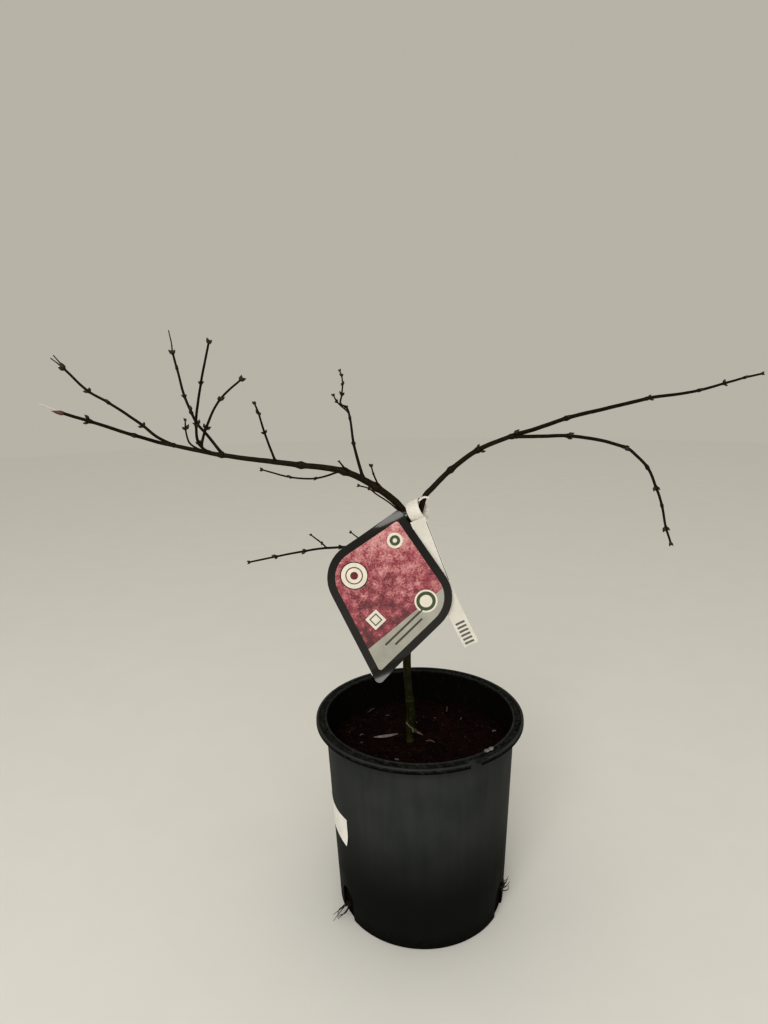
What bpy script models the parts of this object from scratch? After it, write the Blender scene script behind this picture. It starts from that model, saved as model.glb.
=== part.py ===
"""A young weeping maple without its leaves, growing in a round plastic nursery pot.

The trunk rises from the soil to one fork. A long bough runs left and carries upright
twigs, a second bough climbs to the right and divides into a level limb and a limb that
arches down, and a thin low bough leaves the trunk half way up. A picture card and a loop
label hang at the fork, and a plain sticker sits on the pot. The origin is the centre of
the pot's flat underside, +X is to the right and +Y to the back.
"""

import math
import random

import bmesh
import bpy
from mathutils import Vector

MM = 0.001
UP = Vector((0.0, 0.0, 1.0))

# ---- driving dimensions, in millimetres ------------------------------------------------
GAP = 0.3                       # clearance between pieces that touch

POT_HEIGHT = 216.0
POT_RIM_RADIUS = 115.0          # outer edge of the flange
POT_MOUTH_RADIUS = 105.0        # wall's outer face just under the flange
POT_FOOT_RADIUS = 93.5
POT_FOOT_ROUNDING = 2.0
POT_WALL = 1.6
POT_SIDES = 60
FLANGE_THICKNESS = 2.6
FLANGE_SKIRT = 6.0              # height of the flange's hanging edge
FLANGE_GROOVE = 1.8             # depth of the trough round the flange
DRAIN_ANGLES = (-118.0, -62.0, 62.0, 118.0)     # degrees round from the front
DRAIN_WIDTH = 24.0
DRAIN_HEIGHT = 34.0
DRAIN_INWARD = 12.0             # how far each slot cuts into the floor
NOTCH_ANGLES = (26.0, 206.0)    # grip notches in the flange
NOTCH_WIDTH = 13.0
NOTCH_DEPTH = 7.4               # in from the flange's outer edge
CUTTER_MARGIN = 5.0             # how far a cutter runs past what it cuts

SOIL_LEVEL = 180.0              # above the underside
SOIL_BUMP = 3.0
SOIL_FLAT = 18.0                # level round the trunk's foot
SOIL_FADE = 16.0                # from level to its full bumps
SOIL_WAVE = 9.0
SOIL_WAVE_STEP = 2.0            # each crossing wave is longer than the last
SOIL_WAVES = 5
SOIL_RINGS = (0.0, 14.0, 24.0, 46.0, 70.0, 90.0)

TRUNK_FOOT = (-10.5, 0.0)
TRUNK_WAY = (
    (-10, 0, 196), (-9.5, 0, 210), (-11.5, 0, 240), (-13, 0, 270), (-8, 0, 357), (-7, 0, 428),
)
TRUNK_WIDTHS = (                # rise above the soil, and the width there
    (0, 9.4), (5, 8.0), (11, 7.8), (18, 11.2), (28, 10.9), (40, 9.6), (52, 8.8), (110, 8.8), (248, 8.2),
)
TRUNK_JOINTS = (48.0, 112.0, 171.0, 222.0)      # old leaf joints, above the soil
TRUNK_JOINT_SWELL = 0.12
TRUNK_JOINT_REACH = 4.0
TRUNK_SPACING = 6.0             # of the rings along the trunk
STUB_START = (0.0, -1.0, 15.0)  # the rootstock's cut end, from the trunk's foot
STUB_END = (7.0, -4.5, 12.5)
STUB_WIDTHS = (5.2, 4.2)
TRUNK_SIDES = 12
STUB_SIDES = 8
TWIG_SIDES = 5
BUD_SIDES = 4
LIMB_SPACING = 22.0             # of the rings along a limb, between its joints

# Boughs and sprays, a row each: name; carrier; share of the carrier's length where it leaves
# (None: it carries on from the tip); the place it aims at as it leaves; the places it passes;
# its width at both ends; leaf joints; kink at each joint; seed; joints without buds.
BOUGHS = (
    ("left_bough", "trunk", None, None,
     ((-17, -1, 449), (-43, -3, 472), (-76, -6, 490), (-121, -9, 498), (-202, -14, 511), (-257, -18, 524)),
     (7.9, 3.6), 7, 0.8, 3, 7),
    ("right_bough", "trunk", 0.975, (40, 4, 450),
     ((3, 1, 441), (11, 4, 461), (37, 10, 487), (69, 16, 505), (108, 22, 520)),
     (6.0, 4.3), 3, 0.6, 1, 1),
    ("right_upper_bough", "right_bough", None, None,
     ((136, 28, 528), (168, 34, 537), (213, 43, 546), (264, 52, 557)),
     (4.1, 3.5), 3, 0.8, 5, 0),
    ("right_arch_bough", "right_bough", 0.97, (134, 18, 500),
     ((134, 21, 521), (166, 19, 520), (206, 17, 514), (228, 16, 506)),
     (3.5, 3.1), 3, 0.8, 1, 0),
    ("low_left_bough", "trunk", 0.78, (-60, 20, 395),
     ((-40, 14, 402), (-72, 20, 402), (-96, 25, 401)),
     (2.8, 2.3), 2, 0.4, 1, 1),
)
SPRAYS = (
    ("left_tip_spray", "left_bough", None, None,
     ((-285, -29, 535), (-324, -44, 551), (-353, -56, 561)),
     (3.4, 2.8), 3, 1.0, 11, 0),
    ("left_upper_spray", "left_bough", 0.985, (-284, 10, 560),
     ((-284, -5, 541), (-349, 24, 577), (-381, 40, 602)),
     (3.0, 2.3), 4, 1.0, 12, 0),
    ("right_tip_spray", "right_upper_bough", None, None,
     ((298, 58, 560), (358, 69, 571), (404, 77, 580)),
     (3.3, 2.1), 4, 1.0, 13, 0),
    ("right_hanging_spray", "right_arch_bough", None, None,
     ((236, 10, 500), (246, 1, 488), (254, -21, 450), (257, -42, 413)),
     (3.0, 1.9), 4, 0.8, 14, 0),
    ("low_tip_spray", "low_left_bough", None, None,
     ((-125, 32, 394), (-159, 40, 387), (-194, 48, 378)),
     (2.3, 1.8), 3, 0.8, 15, 0),
    ("left_spray_tall", "left_bough", 0.785, (-222, 1, 536),
     ((-222, 1, 536), (-236, 11, 554), (-246, 21, 571), (-262, 42, 616)),
     (2.9, 2.1), 5, 1.6, 21, 0),
    ("left_spray_pair", "left_bough", 0.855, (-224, -26, 540),
     ((-223, -20, 526), (-223, -28, 542), (-215, -42, 569), (-199, -65, 608), (-192, -75, 624)),
     (2.7, 1.9), 4, 0.8, 22, 0),
    ("left_spray_short", "left_bough", 0.888, (-232, -30, 536),
     ((-233, -24, 528), (-232, -31, 540), (-230, -38, 550)),
     (2.0, 1.4), 2, 0.5, 24, 0),
    ("left_spray_middle", "left_bough", 0.575, (-149, -30, 522),
     ((-149, -24, 522), (-153, -36, 536), (-156, -60, 566)),
     (2.4, 1.7), 2, 0.8, 25, 0),
    ("left_spray_under", "left_bough", 0.335, (-95, 30, 475),
     ((-95, 6, 481), (-130, 28, 478), (-177, 55, 485)),
     (2.0, 1.6), 3, 0.6, 26, 0),
    ("left_spur", "left_bough", 0.325, (-78, -20, 503),
     ((-80, -18, 503),),
     (2.2, 1.6), 0, 0.0, 27, 0),
    ("upright_spray", "left_bough", 0.262, (-60, 10, 510),
     ((-62, 6, 502), (-69, 29, 542), (-79, 38, 558), (-76, 48, 576), (-80, 58, 596)),
     (3.3, 1.4), 6, 1.2, 34, 1),
    ("inner_spur", "left_bough", 0.185, (-46, -30, 500),
     ((-46, -22, 499),),
     (1.6, 1.3), 0, 0.0, 29, 0),
    ("inner_spray_under", "left_bough", 0.11, (-31, -30, 455),
     ((-31, -13, 460), (-43, -20, 468), (-60, -28, 476)),
     (1.4, 1.1), 2, 0.5, 33, 0),
    ("low_spur", "low_left_bough", 0.62, (-70, 36, 416),
     ((-72, 31, 416),),
     (1.4, 1.2), 0, 0.0, 31, 0),
)
# A spray's side twig: share of the spray's length where it leaves; the place it aims at; the
# places it passes; its width at both ends; leaf joints; kink; seed.
SIDE_TWIGS = {
    "low_tip_spray": (0.10, (-104, 6, 411), ((-104, 8, 410), (-112, -8, 424)), (1.5, 1.2), 1, 0.5, 1),
    "left_spray_pair": (
        0.09, (-210, 10, 545), ((-218, -3, 540), (-207, 10, 565), (-184, 27, 589), (-178, 30, 590)),
        (2.3, 1.9), 3, 0.8, 23,
    ),
    "upright_spray": (0.62, (-90, 25, 562), ((-82, 34, 558), (-87, 26, 570)), (1.4, 1.1), 1, 0.5, 1),
}
# Dry leaf stalks on a spray's tip, in place of its end buds: where each one ends.
DRY_STALKS = {
    "left_tip_spray": ((-366, -62, 570),),
    "left_upper_spray": ((-399, 48, 615), (-386, 30, 618)),
    "left_spray_tall": ((-268, 55, 643),),
}
BOUGH_SIDES = 8
BUD_TURN = 0.6                  # turn of a spray's first buds, by its seed

JOINT_SWELL = 1.28              # how much a limb thickens at a leaf joint
JOINT_SHORTENING = 0.88         # joints stand closer together towards a tip
BEND_ROOM = 1.07                # a bent limb's rings stand a little outside its width
ROOT_SWELL = 1.12               # how much it thickens where it leaves its carrier
BUD_LENGTH = 4.4
BUD_WIDTH = 2.0
BUD_PROFILE = ((0.0, 0.3), (0.5, 0.5), (1.0, 0.08))     # share of length, half width by width
SIDE_BUD = 0.82                 # size of a bud at a joint, by one at a tip
SIDE_BUD_AIM = (0.85, 0.7)      # how far it leans along the limb and out from it
STALK_WIDTH = 1.4

CARD_CORNERS = ((-18, 449), (48, 348), (-47, 257), (-108, 390))     # across, up
CARD_ROUNDING = (6.0, 40.0, 6.0, 40.0)
CARD_THICKNESS = 0.6
CARD_TOP_DEPTH = -10.0          # the card hangs from the fork and leans out in front
CARD_FOOT_DEPTH = -24.0
STRAP_PLACE = 0.06              # along the left bough
STRAP_WIDTH = 5.0
STRAP_THICKNESS = 0.6
TAB_DROP = 14.0                 # from the card's top corner to the tab's foot

LABEL_WIDTH = 17.0
LABEL_THICKNESS = 0.5
LABEL_LOOP_RADIUS = 9.0
LABEL_LOOP_WIDTH = 14.45
LABEL_PLACE = 0.19              # along the right bough
LABEL_DROP = (-0.45, -0.88, 0.0)                # the way the loop hangs off the bough
LABEL_ACROSS = (0.95, 0.0, 0.31)                # the tail's width runs this way
LABEL_TAIL_WAY = ((3, -12.6, 446), (12, -9.0, 424), (35, -10, 350), (57, -12, 299))

STICKER_ANGLES = (-102.0, -54.0)
STICKER_LOW = 95.0
STICKER_HIGH = 125.0
STICKER_THICKNESS = 0.3

COLOURS = {
    "pot plastic": ((0.022, 0.023, 0.023), 0.55),
    "potting soil": ((0.030, 0.016, 0.010), 0.95),
    "young bark": ((0.080, 0.085, 0.030), 0.65),
    "bough bark": ((0.040, 0.024, 0.016), 0.70),
    "twig bark": ((0.030, 0.016, 0.012), 0.65),
    "card print": ((0.360, 0.070, 0.110), 0.30),
    "label film": ((0.700, 0.690, 0.660), 0.45),
    "sticker paper": ((0.740, 0.730, 0.710), 0.55),
}


# ---- small helpers --------------------------------------------------------------------
def clear_scene():
    for thing in list(bpy.data.objects):
        bpy.data.objects.remove(thing, do_unlink=True)


def finish_material(name):
    colour, roughness = COLOURS[name]
    material = bpy.data.materials.new(name)
    material.use_nodes = True
    shader = material.node_tree.nodes["Principled BSDF"]
    shader.inputs["Base Color"].default_value = (*colour, 1.0)
    shader.inputs["Roughness"].default_value = roughness
    shader.inputs["Metallic"].default_value = 0.0
    return material


def add_object(name, shape, material_name=None):
    """Turns a bmesh drawn in millimetres into an object in metres."""
    bmesh.ops.scale(shape, vec=(MM, MM, MM), verts=shape.verts)
    bmesh.ops.recalc_face_normals(shape, faces=shape.faces)
    mesh = bpy.data.meshes.new(name)
    shape.to_mesh(mesh)
    shape.free()
    mesh.shade_smooth()
    mesh.set_sharp_from_angle(angle=math.radians(40.0))
    thing = bpy.data.objects.new(name, mesh)
    bpy.context.scene.collection.objects.link(thing)
    if material_name:
        mesh.materials.append(finish_material(material_name))
    return thing


def add_boolean(thing, operation, collection, solver):
    modifier = thing.modifiers.new(operation.title(), "BOOLEAN")
    modifier.operation = operation
    modifier.operand_type = "COLLECTION"
    modifier.collection = collection
    modifier.solver = solver
    return modifier


def boolean_all(thing, others, operation="UNION", solver="MANIFOLD"):
    """Applies one Boolean with all the others, then removes them."""
    if not others:
        return thing
    group = bpy.data.collections.new(thing.name + "_pieces")
    bpy.context.scene.collection.children.link(group)
    for other in others:
        bpy.context.scene.collection.objects.unlink(other)
        group.objects.link(other)
    add_boolean(thing, operation, group, solver)
    evaluated = thing.evaluated_get(bpy.context.evaluated_depsgraph_get())
    fused = bpy.data.meshes.new_from_object(evaluated)
    thing.modifiers.clear()
    thing.data = fused
    for other in others:
        bpy.data.objects.remove(other, do_unlink=True)
    bpy.data.collections.remove(group)
    return thing


def front_angle(degrees, radius, height):
    """A place round the pot: 0 degrees is the front, positive turns to the right."""
    angle = math.radians(degrees)
    return Vector((radius * math.sin(angle), -radius * math.cos(angle), height))


# ---- limbs -----------------------------------------------------------------------------
class Limb:
    """A tapering shoot: its centre line, its half width along it and its leaf joints."""

    def __init__(self, spine, radii, joints, outward):
        self.spine = spine
        self.radii = radii
        self.joints = joints
        self.outward = outward

    def place(self, fraction):
        """Centre, direction and half width at a fraction of the length."""
        steps = [(b - a).length for a, b in zip(self.spine, self.spine[1:])]
        wanted = fraction * sum(steps)
        for index, step in enumerate(steps):
            if wanted <= step or index == len(steps) - 1:
                share = min(wanted / step, 1.0)
                along = (self.spine[index + 1] - self.spine[index]).normalized()
                centre = self.spine[index].lerp(self.spine[index + 1], share)
                radius = self.radii[index] + (self.radii[index + 1] - self.radii[index]) * share
                return centre, along, radius
            wanted -= step

    def end_root(self):
        """Start of a shoot that carries on from this limb's tip."""
        along = (self.spine[-1] - self.spine[-2]).normalized()
        return self.spine[-1] + along * GAP, along

    def side_root(self, fraction, toward):
        """Start of a shoot that stands on this limb's side, facing a place."""
        centre, along, radius = self.place(fraction)
        reach = Vector(toward) - centre
        outward = (reach - along * reach.dot(along)).normalized()
        return centre + outward * (radius * BEND_ROOM + GAP), outward

    def sunk_root(self, fraction, toward):
        """Start of a twig that is fused into this one."""
        centre, along, radius = self.place(fraction)
        return centre, (Vector(toward) - centre).normalized()


def smooth_route(points, first_heading=None, steps=8):
    """A smooth curve through the points, as Hermite spans between unit headings."""
    headings = [(b - a).normalized() for a, b in zip(points, points[1:])]
    bends = [(first + last).normalized() for first, last in zip(headings, headings[1:])]
    tangents = [first_heading or headings[0]] + bends + [headings[-1]]
    route = []
    for a, b, leaving, arriving in zip(points, points[1:], tangents, tangents[1:]):
        chord = (b - a).length
        for step in range(steps):
            t = step / steps
            rest = 1.0 - t
            route.append(a * (1 + 2 * t) * rest * rest + b * t * t * (3 - 2 * t)
                         + leaving * chord * t * rest * rest - arriving * chord * t * t * rest)
    route.append(points[-1])
    return route


def along_route(route, fraction):
    steps = [(b - a).length for a, b in zip(route, route[1:])]
    wanted = fraction * sum(steps)
    for index, step in enumerate(steps):
        if wanted <= step or index == len(steps) - 1:
            return route[index].lerp(route[index + 1], min(wanted / step, 1.0))
        wanted -= step


def route_length(route):
    return sum((b - a).length for a, b in zip(route, route[1:]))


def joint_fractions(count):
    """Leaf joints stand closer together towards the tip."""
    lengths = [JOINT_SHORTENING ** index for index in range(count + 1)]
    total = sum(lengths)
    return [sum(lengths[:index + 1]) / total for index in range(count)]


def shape_limb(root, way, girth, joints=0, kink=0.0, seed=1, spacing=LIMB_SPACING):
    """Works out a limb from its root, the places it passes and its width at both ends."""
    start, outward = root
    route = smooth_route([start] + [Vector(place) for place in way], outward)
    length = route_length(route)
    chance = random.Random(seed)
    stops = joint_fractions(joints)
    swell = {}
    for stop in stops:
        swell[stop] = JOINT_SWELL
        for side in (-1, 1):
            swell[stop + side * girth[0] * 0.9 / length] = 1.0
    count = max(2, round(length / spacing))
    for index in range(count + 1):
        fraction = index / count
        if all(abs(fraction - other) * length > spacing * 0.45 for other in swell):
            swell[fraction] = 1.0
    swell.setdefault(0.0, ROOT_SWELL)
    swell.setdefault(1.0, 1.0)
    swell[min(1.0, girth[0] / length)] = 1.0
    bends = [kink * (-1) ** index * chance.uniform(0.6, 1.2) for index in range(joints)]
    kinks = [0.0] + bends + [0.0]
    marks = [0.0] + stops + [1.0]
    spine = []
    radii = []
    for fraction in sorted(swell):
        place = along_route(route, fraction)
        before = along_route(route, max(0.0, fraction - 0.02))
        ahead = along_route(route, min(1.0, fraction + 0.02)) - before
        sideways = ahead.normalized().cross(Vector((0.25, 1.0, 0.1))).normalized()
        offset = 0.0
        for low, high, first, last in zip(marks, marks[1:], kinks, kinks[1:]):
            if low <= fraction <= high:
                offset = first + (last - first) * (fraction - low) / (high - low)
        spine.append(place + sideways * offset)
        half = 0.5 * (girth[0] + (girth[1] - girth[0]) * fraction)
        radii.append(half * swell[fraction])
    return Limb(spine, radii, stops, outward)


def tube(spine, radii, sides, facing=None):
    """A closed tube along a centre line, with flat ends; its first end can face a set way."""
    shape = bmesh.new()
    rings = []
    ahead = (spine[1] - spine[0]).normalized()
    across = ahead.orthogonal().normalized()
    for index, (centre, radius) in enumerate(zip(spine, radii)):
        before = spine[max(index - 1, 0)]
        after = spine[min(index + 1, len(spine) - 1)]
        ahead = (after - before).normalized()
        if index == 0 and facing:
            ahead = facing
        across = (across - ahead * across.dot(ahead)).normalized()
        second = ahead.cross(across)
        ring = []
        for side in range(sides):
            angle = math.tau * side / sides
            spoke = across * math.cos(angle) + second * math.sin(angle)
            ring.append(shape.verts.new(centre + spoke * radius))
        rings.append(ring)
    for low, high in zip(rings, rings[1:]):
        for side in range(sides):
            following = (side + 1) % sides
            shape.faces.new((low[side], low[following], high[following], high[side]))
    shape.faces.new(list(reversed(rings[0])))
    shape.faces.new(rings[-1])
    return shape


def bud(centre, direction, length=BUD_LENGTH, width=BUD_WIDTH):
    """A pointed bud whose base is sunk in its twig."""
    spine = [centre + direction * length * share for share, half in BUD_PROFILE]
    return add_object("bud", tube(spine, [width * half for share, half in BUD_PROFILE], BUD_SIDES))


def bud_pairs(limb, first_turn=0.0, skip=0):
    """Opposite buds at every leaf joint, each pair a quarter turn from the last."""
    pieces = []
    for index, fraction in enumerate(limb.joints[skip:]):
        centre, along, radius = limb.place(fraction)
        across = along.cross(Vector((0.0, 1.0, 0.0))).normalized()
        second = along.cross(across)
        turn = first_turn + index * math.pi / 2
        sideways = across * math.cos(turn) + second * math.sin(turn)
        for side in (-1, 1):
            direction = (along * SIDE_BUD_AIM[0] + sideways * side * SIDE_BUD_AIM[1]).normalized()
            root = centre + sideways * side * radius * 0.35
            pieces.append(bud(root, direction, BUD_LENGTH * SIDE_BUD, BUD_WIDTH * SIDE_BUD))
    return pieces


def end_buds(limb):
    """The pair of buds that ends a shoot of this kind of maple."""
    centre, along, radius = limb.place(1.0)
    across = along.cross(Vector((0.2, 1.0, 0.0))).normalized()
    root = centre - along * radius
    return [bud(root, (along + across * side * 0.3).normalized()) for side in (-1, 1)]


def dry_stalk(limb, tip):
    """A thin dry leaf stalk that stands on the end of a shoot."""
    centre, along, radius = limb.place(1.0)
    start = centre - along * 1.5
    end = Vector(tip)
    middle = start.lerp(end, 0.5) + along.cross(UP) * 0.8
    half = STALK_WIDTH * 0.5
    return add_object("stalk", tube([start, middle, end], [half * 1.2, half, half * 1.4], TWIG_SIDES))


def grow(name, limb, sides, material_name, extras=()):
    """Makes a limb's solid and fuses its buds, stalks and side twigs to it."""
    body = add_object(name, tube(limb.spine, limb.radii, sides, limb.outward), material_name)
    return boolean_all(body, list(extras))


def side_twig(limb):
    return add_object("twig", tube(limb.spine, limb.radii, TWIG_SIDES))


# ---- pot and soil ----------------------------------------------------------------------
def wall_radius(height):
    """Outer radius of the pot's wall at a height."""
    return POT_FOOT_RADIUS + (POT_MOUTH_RADIUS - POT_FOOT_RADIUS) * height / POT_HEIGHT


def turned(profile, sides):
    """Turns a profile that starts and ends on the axis into a closed solid."""
    shape = bmesh.new()
    rings = []
    for radius, height in profile:
        if radius == 0.0:
            rings.append([shape.verts.new((0.0, 0.0, height))])
            continue
        angles = [360.0 * side / sides for side in range(sides)]
        rings.append([shape.verts.new(front_angle(angle, radius, height)) for angle in angles])
    for low, high in zip(rings, rings[1:]):
        for side in range(sides):
            following = (side + 1) % sides
            if len(low) == 1:
                shape.faces.new((low[0], high[following], high[side]))
            elif len(high) == 1:
                shape.faces.new((low[side], low[following], high[0]))
            else:
                shape.faces.new((low[side], low[following], high[following], high[side]))
    return shape


def radial_prism(angle, outline, inner, outer):
    """Runs an outline (across, up) outward through the pot's wall."""
    shape = bmesh.new()
    turn = math.radians(angle)
    across = Vector((math.cos(turn), math.sin(turn), 0.0))
    near = [shape.verts.new(front_angle(angle, inner, up) + across * side) for side, up in outline]
    far = [shape.verts.new(front_angle(angle, outer, up) + across * side) for side, up in outline]
    shape.faces.new(near)
    shape.faces.new(list(reversed(far)))
    for index in range(len(outline)):
        following = (index + 1) % len(outline)
        shape.faces.new((near[index], far[index], far[following], near[following]))
    return shape


def make_pot():
    inner_edge = POT_MOUTH_RADIUS - POT_WALL
    skirt = POT_HEIGHT - FLANGE_SKIRT
    under_flange = POT_HEIGHT - FLANGE_THICKNESS
    profile = [
        (0.0, 0.0),
        (POT_FOOT_RADIUS - POT_FOOT_ROUNDING, 0.0),
        (POT_FOOT_RADIUS, POT_FOOT_ROUNDING),
        (wall_radius(under_flange), under_flange),
        (POT_RIM_RADIUS - POT_WALL, under_flange),
        (POT_RIM_RADIUS - POT_WALL, skirt),
        (POT_RIM_RADIUS - 0.4, skirt),
        (POT_RIM_RADIUS, skirt + 1.2),
        (POT_RIM_RADIUS, POT_HEIGHT - 1.6),
        (POT_RIM_RADIUS - 0.9, POT_HEIGHT - 0.6),
        (POT_RIM_RADIUS - 2.2, POT_HEIGHT - 0.8),
        (POT_RIM_RADIUS - 3.2, POT_HEIGHT - FLANGE_GROOVE),
        (POT_MOUTH_RADIUS + 2.0, POT_HEIGHT - FLANGE_GROOVE),
        (POT_MOUTH_RADIUS + 0.8, POT_HEIGHT),
        (inner_edge + 0.4, POT_HEIGHT),
        (inner_edge, POT_HEIGHT - 1.0),
        (wall_radius(POT_FOOT_ROUNDING) - POT_WALL, POT_WALL),
        (0.0, POT_WALL),
    ]
    pot = add_object("pot", turned(profile, POT_SIDES), "pot plastic")
    half = DRAIN_WIDTH * 0.5
    spring = DRAIN_HEIGHT - half
    turns = [step * math.pi / 6 for step in range(7)]
    arch = [(half * math.cos(turn), spring + half * math.sin(turn)) for turn in turns]
    slot = [(half, -CUTTER_MARGIN)] + arch + [(-half, -CUTTER_MARGIN)]
    outside = POT_RIM_RADIUS + CUTTER_MARGIN
    cutters = []
    for angle in DRAIN_ANGLES:
        prism = radial_prism(angle, slot, POT_FOOT_RADIUS - DRAIN_INWARD, outside)
        cutters.append(add_object("drain_cutter", prism))
    half = NOTCH_WIDTH * 0.5
    low, high = skirt - CUTTER_MARGIN, POT_HEIGHT + CUTTER_MARGIN
    notch = [(half, low), (half, high), (-half, high), (-half, low)]
    for angle in NOTCH_ANGLES:
        prism = radial_prism(angle, notch, POT_RIM_RADIUS - NOTCH_DEPTH, outside)
        cutters.append(add_object("notch_cutter", prism))
    return boolean_all(pot, cutters, "DIFFERENCE", "EXACT")


def soil_height(x, y, phases):
    """Gently uneven soil that is flat round the trunk's foot."""
    distance = math.hypot(x - TRUNK_FOOT[0], y - TRUNK_FOOT[1])
    fade = min(max((distance - SOIL_FLAT) / SOIL_FADE, 0.0), 1.0)
    bump = 0.0
    for index, phase in enumerate(phases):
        turn = math.tau * index / len(phases)
        reach = x * math.cos(turn) + y * math.sin(turn)
        bump += math.sin(reach / (SOIL_WAVE + SOIL_WAVE_STEP * index) + phase)
    return SOIL_LEVEL + fade * SOIL_BUMP * bump / len(phases)


def make_soil():
    chance = random.Random(7)
    phases = [chance.uniform(0.0, math.tau) for _ in range(SOIL_WAVES)]
    floor = POT_WALL + GAP
    clear = POT_WALL + GAP * 1.2
    edge = wall_radius(SOIL_LEVEL) - clear
    low_edge = wall_radius(floor) - clear - GAP
    profile = [(0.0, floor), (low_edge, floor), (edge, SOIL_LEVEL)]
    profile += [(radius, SOIL_LEVEL) for radius in reversed(SOIL_RINGS)]
    shape = turned(profile, POT_SIDES)
    for corner in shape.verts:
        flat_distance = math.hypot(corner.co.x, corner.co.y)
        if corner.co.z > SOIL_LEVEL - 1.0 and flat_distance < edge - 2.0:
            corner.co.z = soil_height(corner.co.x, corner.co.y, phases)
    return add_object("soil", shape, "potting soil")


# ---- card, label and sticker --------------------------------------------------------------
def rounded_outline(corners, radii, steps=6):
    """Rounds each corner of a polygon with an arc."""
    outline = []
    count = len(corners)
    for index, (corner, radius) in enumerate(zip(corners, radii)):
        here = Vector(corner)
        before = (Vector(corners[index - 1]) - here).normalized()
        after = (Vector(corners[(index + 1) % count]) - here).normalized()
        half = before.angle(after) * 0.5
        middle = (before + after).normalized()
        centre = here + middle * (radius / math.sin(half))
        start = here + before * (radius / math.tan(half)) - centre
        sweep = math.pi - 2 * half
        outer = here - centre
        turn = 1.0 if start.x * outer.y - start.y * outer.x > 0 else -1.0
        for step in range(steps + 1):
            angle = turn * sweep * step / steps
            cosine, sine = math.cos(angle), math.sin(angle)
            spoke = Vector((start.x * cosine - start.y * sine, start.x * sine + start.y * cosine))
            outline.append(centre + spoke)
    return outline


def card_depth(height):
    top = CARD_CORNERS[0][1]
    foot = CARD_CORNERS[2][1]
    return CARD_TOP_DEPTH + (CARD_FOOT_DEPTH - CARD_TOP_DEPTH) * (top - height) / (top - foot)


def sheet(outline, depth_of, thickness):
    """A thin flat card from an outline (across, up)."""
    shape = bmesh.new()
    front = [shape.verts.new((x, depth_of(z) - thickness, z)) for x, z in outline]
    back = [shape.verts.new((x, depth_of(z), z)) for x, z in outline]
    shape.faces.new(front)
    shape.faces.new(list(reversed(back)))
    for index in range(len(outline)):
        following = (index + 1) % len(outline)
        shape.faces.new((front[index], back[index], back[following], front[following]))
    return shape


def band(centre, axis, radius, width, thickness, steps=24):
    """A short open ring of strap round an axis."""
    shape = bmesh.new()
    axis = axis.normalized()
    across = axis.cross(UP).normalized()
    second = axis.cross(across)
    loops = []
    for reach, side in ((radius, -1), (radius, 1), (radius + thickness, 1), (radius + thickness, -1)):
        ring = []
        for step in range(steps):
            angle = math.tau * step / steps
            outward = across * math.cos(angle) + second * math.sin(angle)
            ring.append(shape.verts.new(centre + outward * reach + axis * side * width * 0.5))
        loops.append(ring)
    for first, last in zip(loops, loops[1:] + loops[:1]):
        for step in range(steps):
            following = (step + 1) % steps
            shape.faces.new((first[step], first[following], last[following], last[step]))
    return shape


def ribbon(way, width_direction, width, thickness):
    """A flat strip that follows a way and faces the front."""
    shape = bmesh.new()
    route = smooth_route([Vector(place) for place in way], steps=3)
    rings = []
    for index, place in enumerate(route):
        ahead = (route[min(index + 1, len(route) - 1)] - route[max(index - 1, 0)]).normalized()
        across = (width_direction - ahead * width_direction.dot(ahead)).normalized()
        facing = ahead.cross(across)
        ring = []
        for side, face in ((-1, -1), (1, -1), (1, 1), (-1, 1)):
            corner = across * side * width * 0.5 + facing * face * thickness * 0.5
            ring.append(shape.verts.new(place + corner))
        rings.append(ring)
    for low, high in zip(rings, rings[1:]):
        for side in range(4):
            following = (side + 1) % 4
            shape.faces.new((low[side], low[following], high[following], high[side]))
    shape.faces.new(list(reversed(rings[0])))
    shape.faces.new(rings[-1])
    return shape


def make_card(left_bough):
    """The picture card: its strap goes round the left bough at the fork."""
    outline = rounded_outline(CARD_CORNERS, CARD_ROUNDING)
    card = add_object("picture_card", sheet(outline, card_depth, CARD_THICKNESS), "card print")
    centre, along, radius = left_bough.place(STRAP_PLACE)
    loop_radius = radius * BEND_ROOM + GAP
    strap = add_object("strap", band(centre, along, loop_radius, STRAP_WIDTH, STRAP_THICKNESS, 16))
    front = centre + Vector((0.0, -loop_radius - STRAP_THICKNESS, 0.0))
    tab_foot = CARD_CORNERS[0][1] - TAB_DROP
    inside = Vector((CARD_CORNERS[0][0] + 1.0, card_depth(tab_foot) - CARD_THICKNESS * 0.5, tab_foot))
    tab_way = (front + Vector((0.0, 0.2, 1.5)), front + Vector((0.0, -1.0, -3.0)), inside)
    tab = add_object("tab", ribbon(tab_way, Vector((1.0, 0.0, 0.0)), STRAP_WIDTH, STRAP_THICKNESS * 2))
    return boolean_all(card, [strap, tab])


def make_label(right_bough):
    """The white loop label: its loop hangs on the right bough, its tail behind the card."""
    centre, along, radius = right_bough.place(LABEL_PLACE)
    drop = Vector(LABEL_DROP)
    drop = (drop - along * drop.dot(along)).normalized()
    middle = centre + drop * (LABEL_LOOP_RADIUS - radius - GAP * 2)
    ring = band(middle, along, LABEL_LOOP_RADIUS, LABEL_LOOP_WIDTH, LABEL_THICKNESS)
    loop = add_object("loop_label", ring, "label film")
    strip = ribbon(LABEL_TAIL_WAY, Vector(LABEL_ACROSS), LABEL_WIDTH, LABEL_THICKNESS)
    tail = add_object("tail", strip)
    return boolean_all(loop, [tail])


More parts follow.
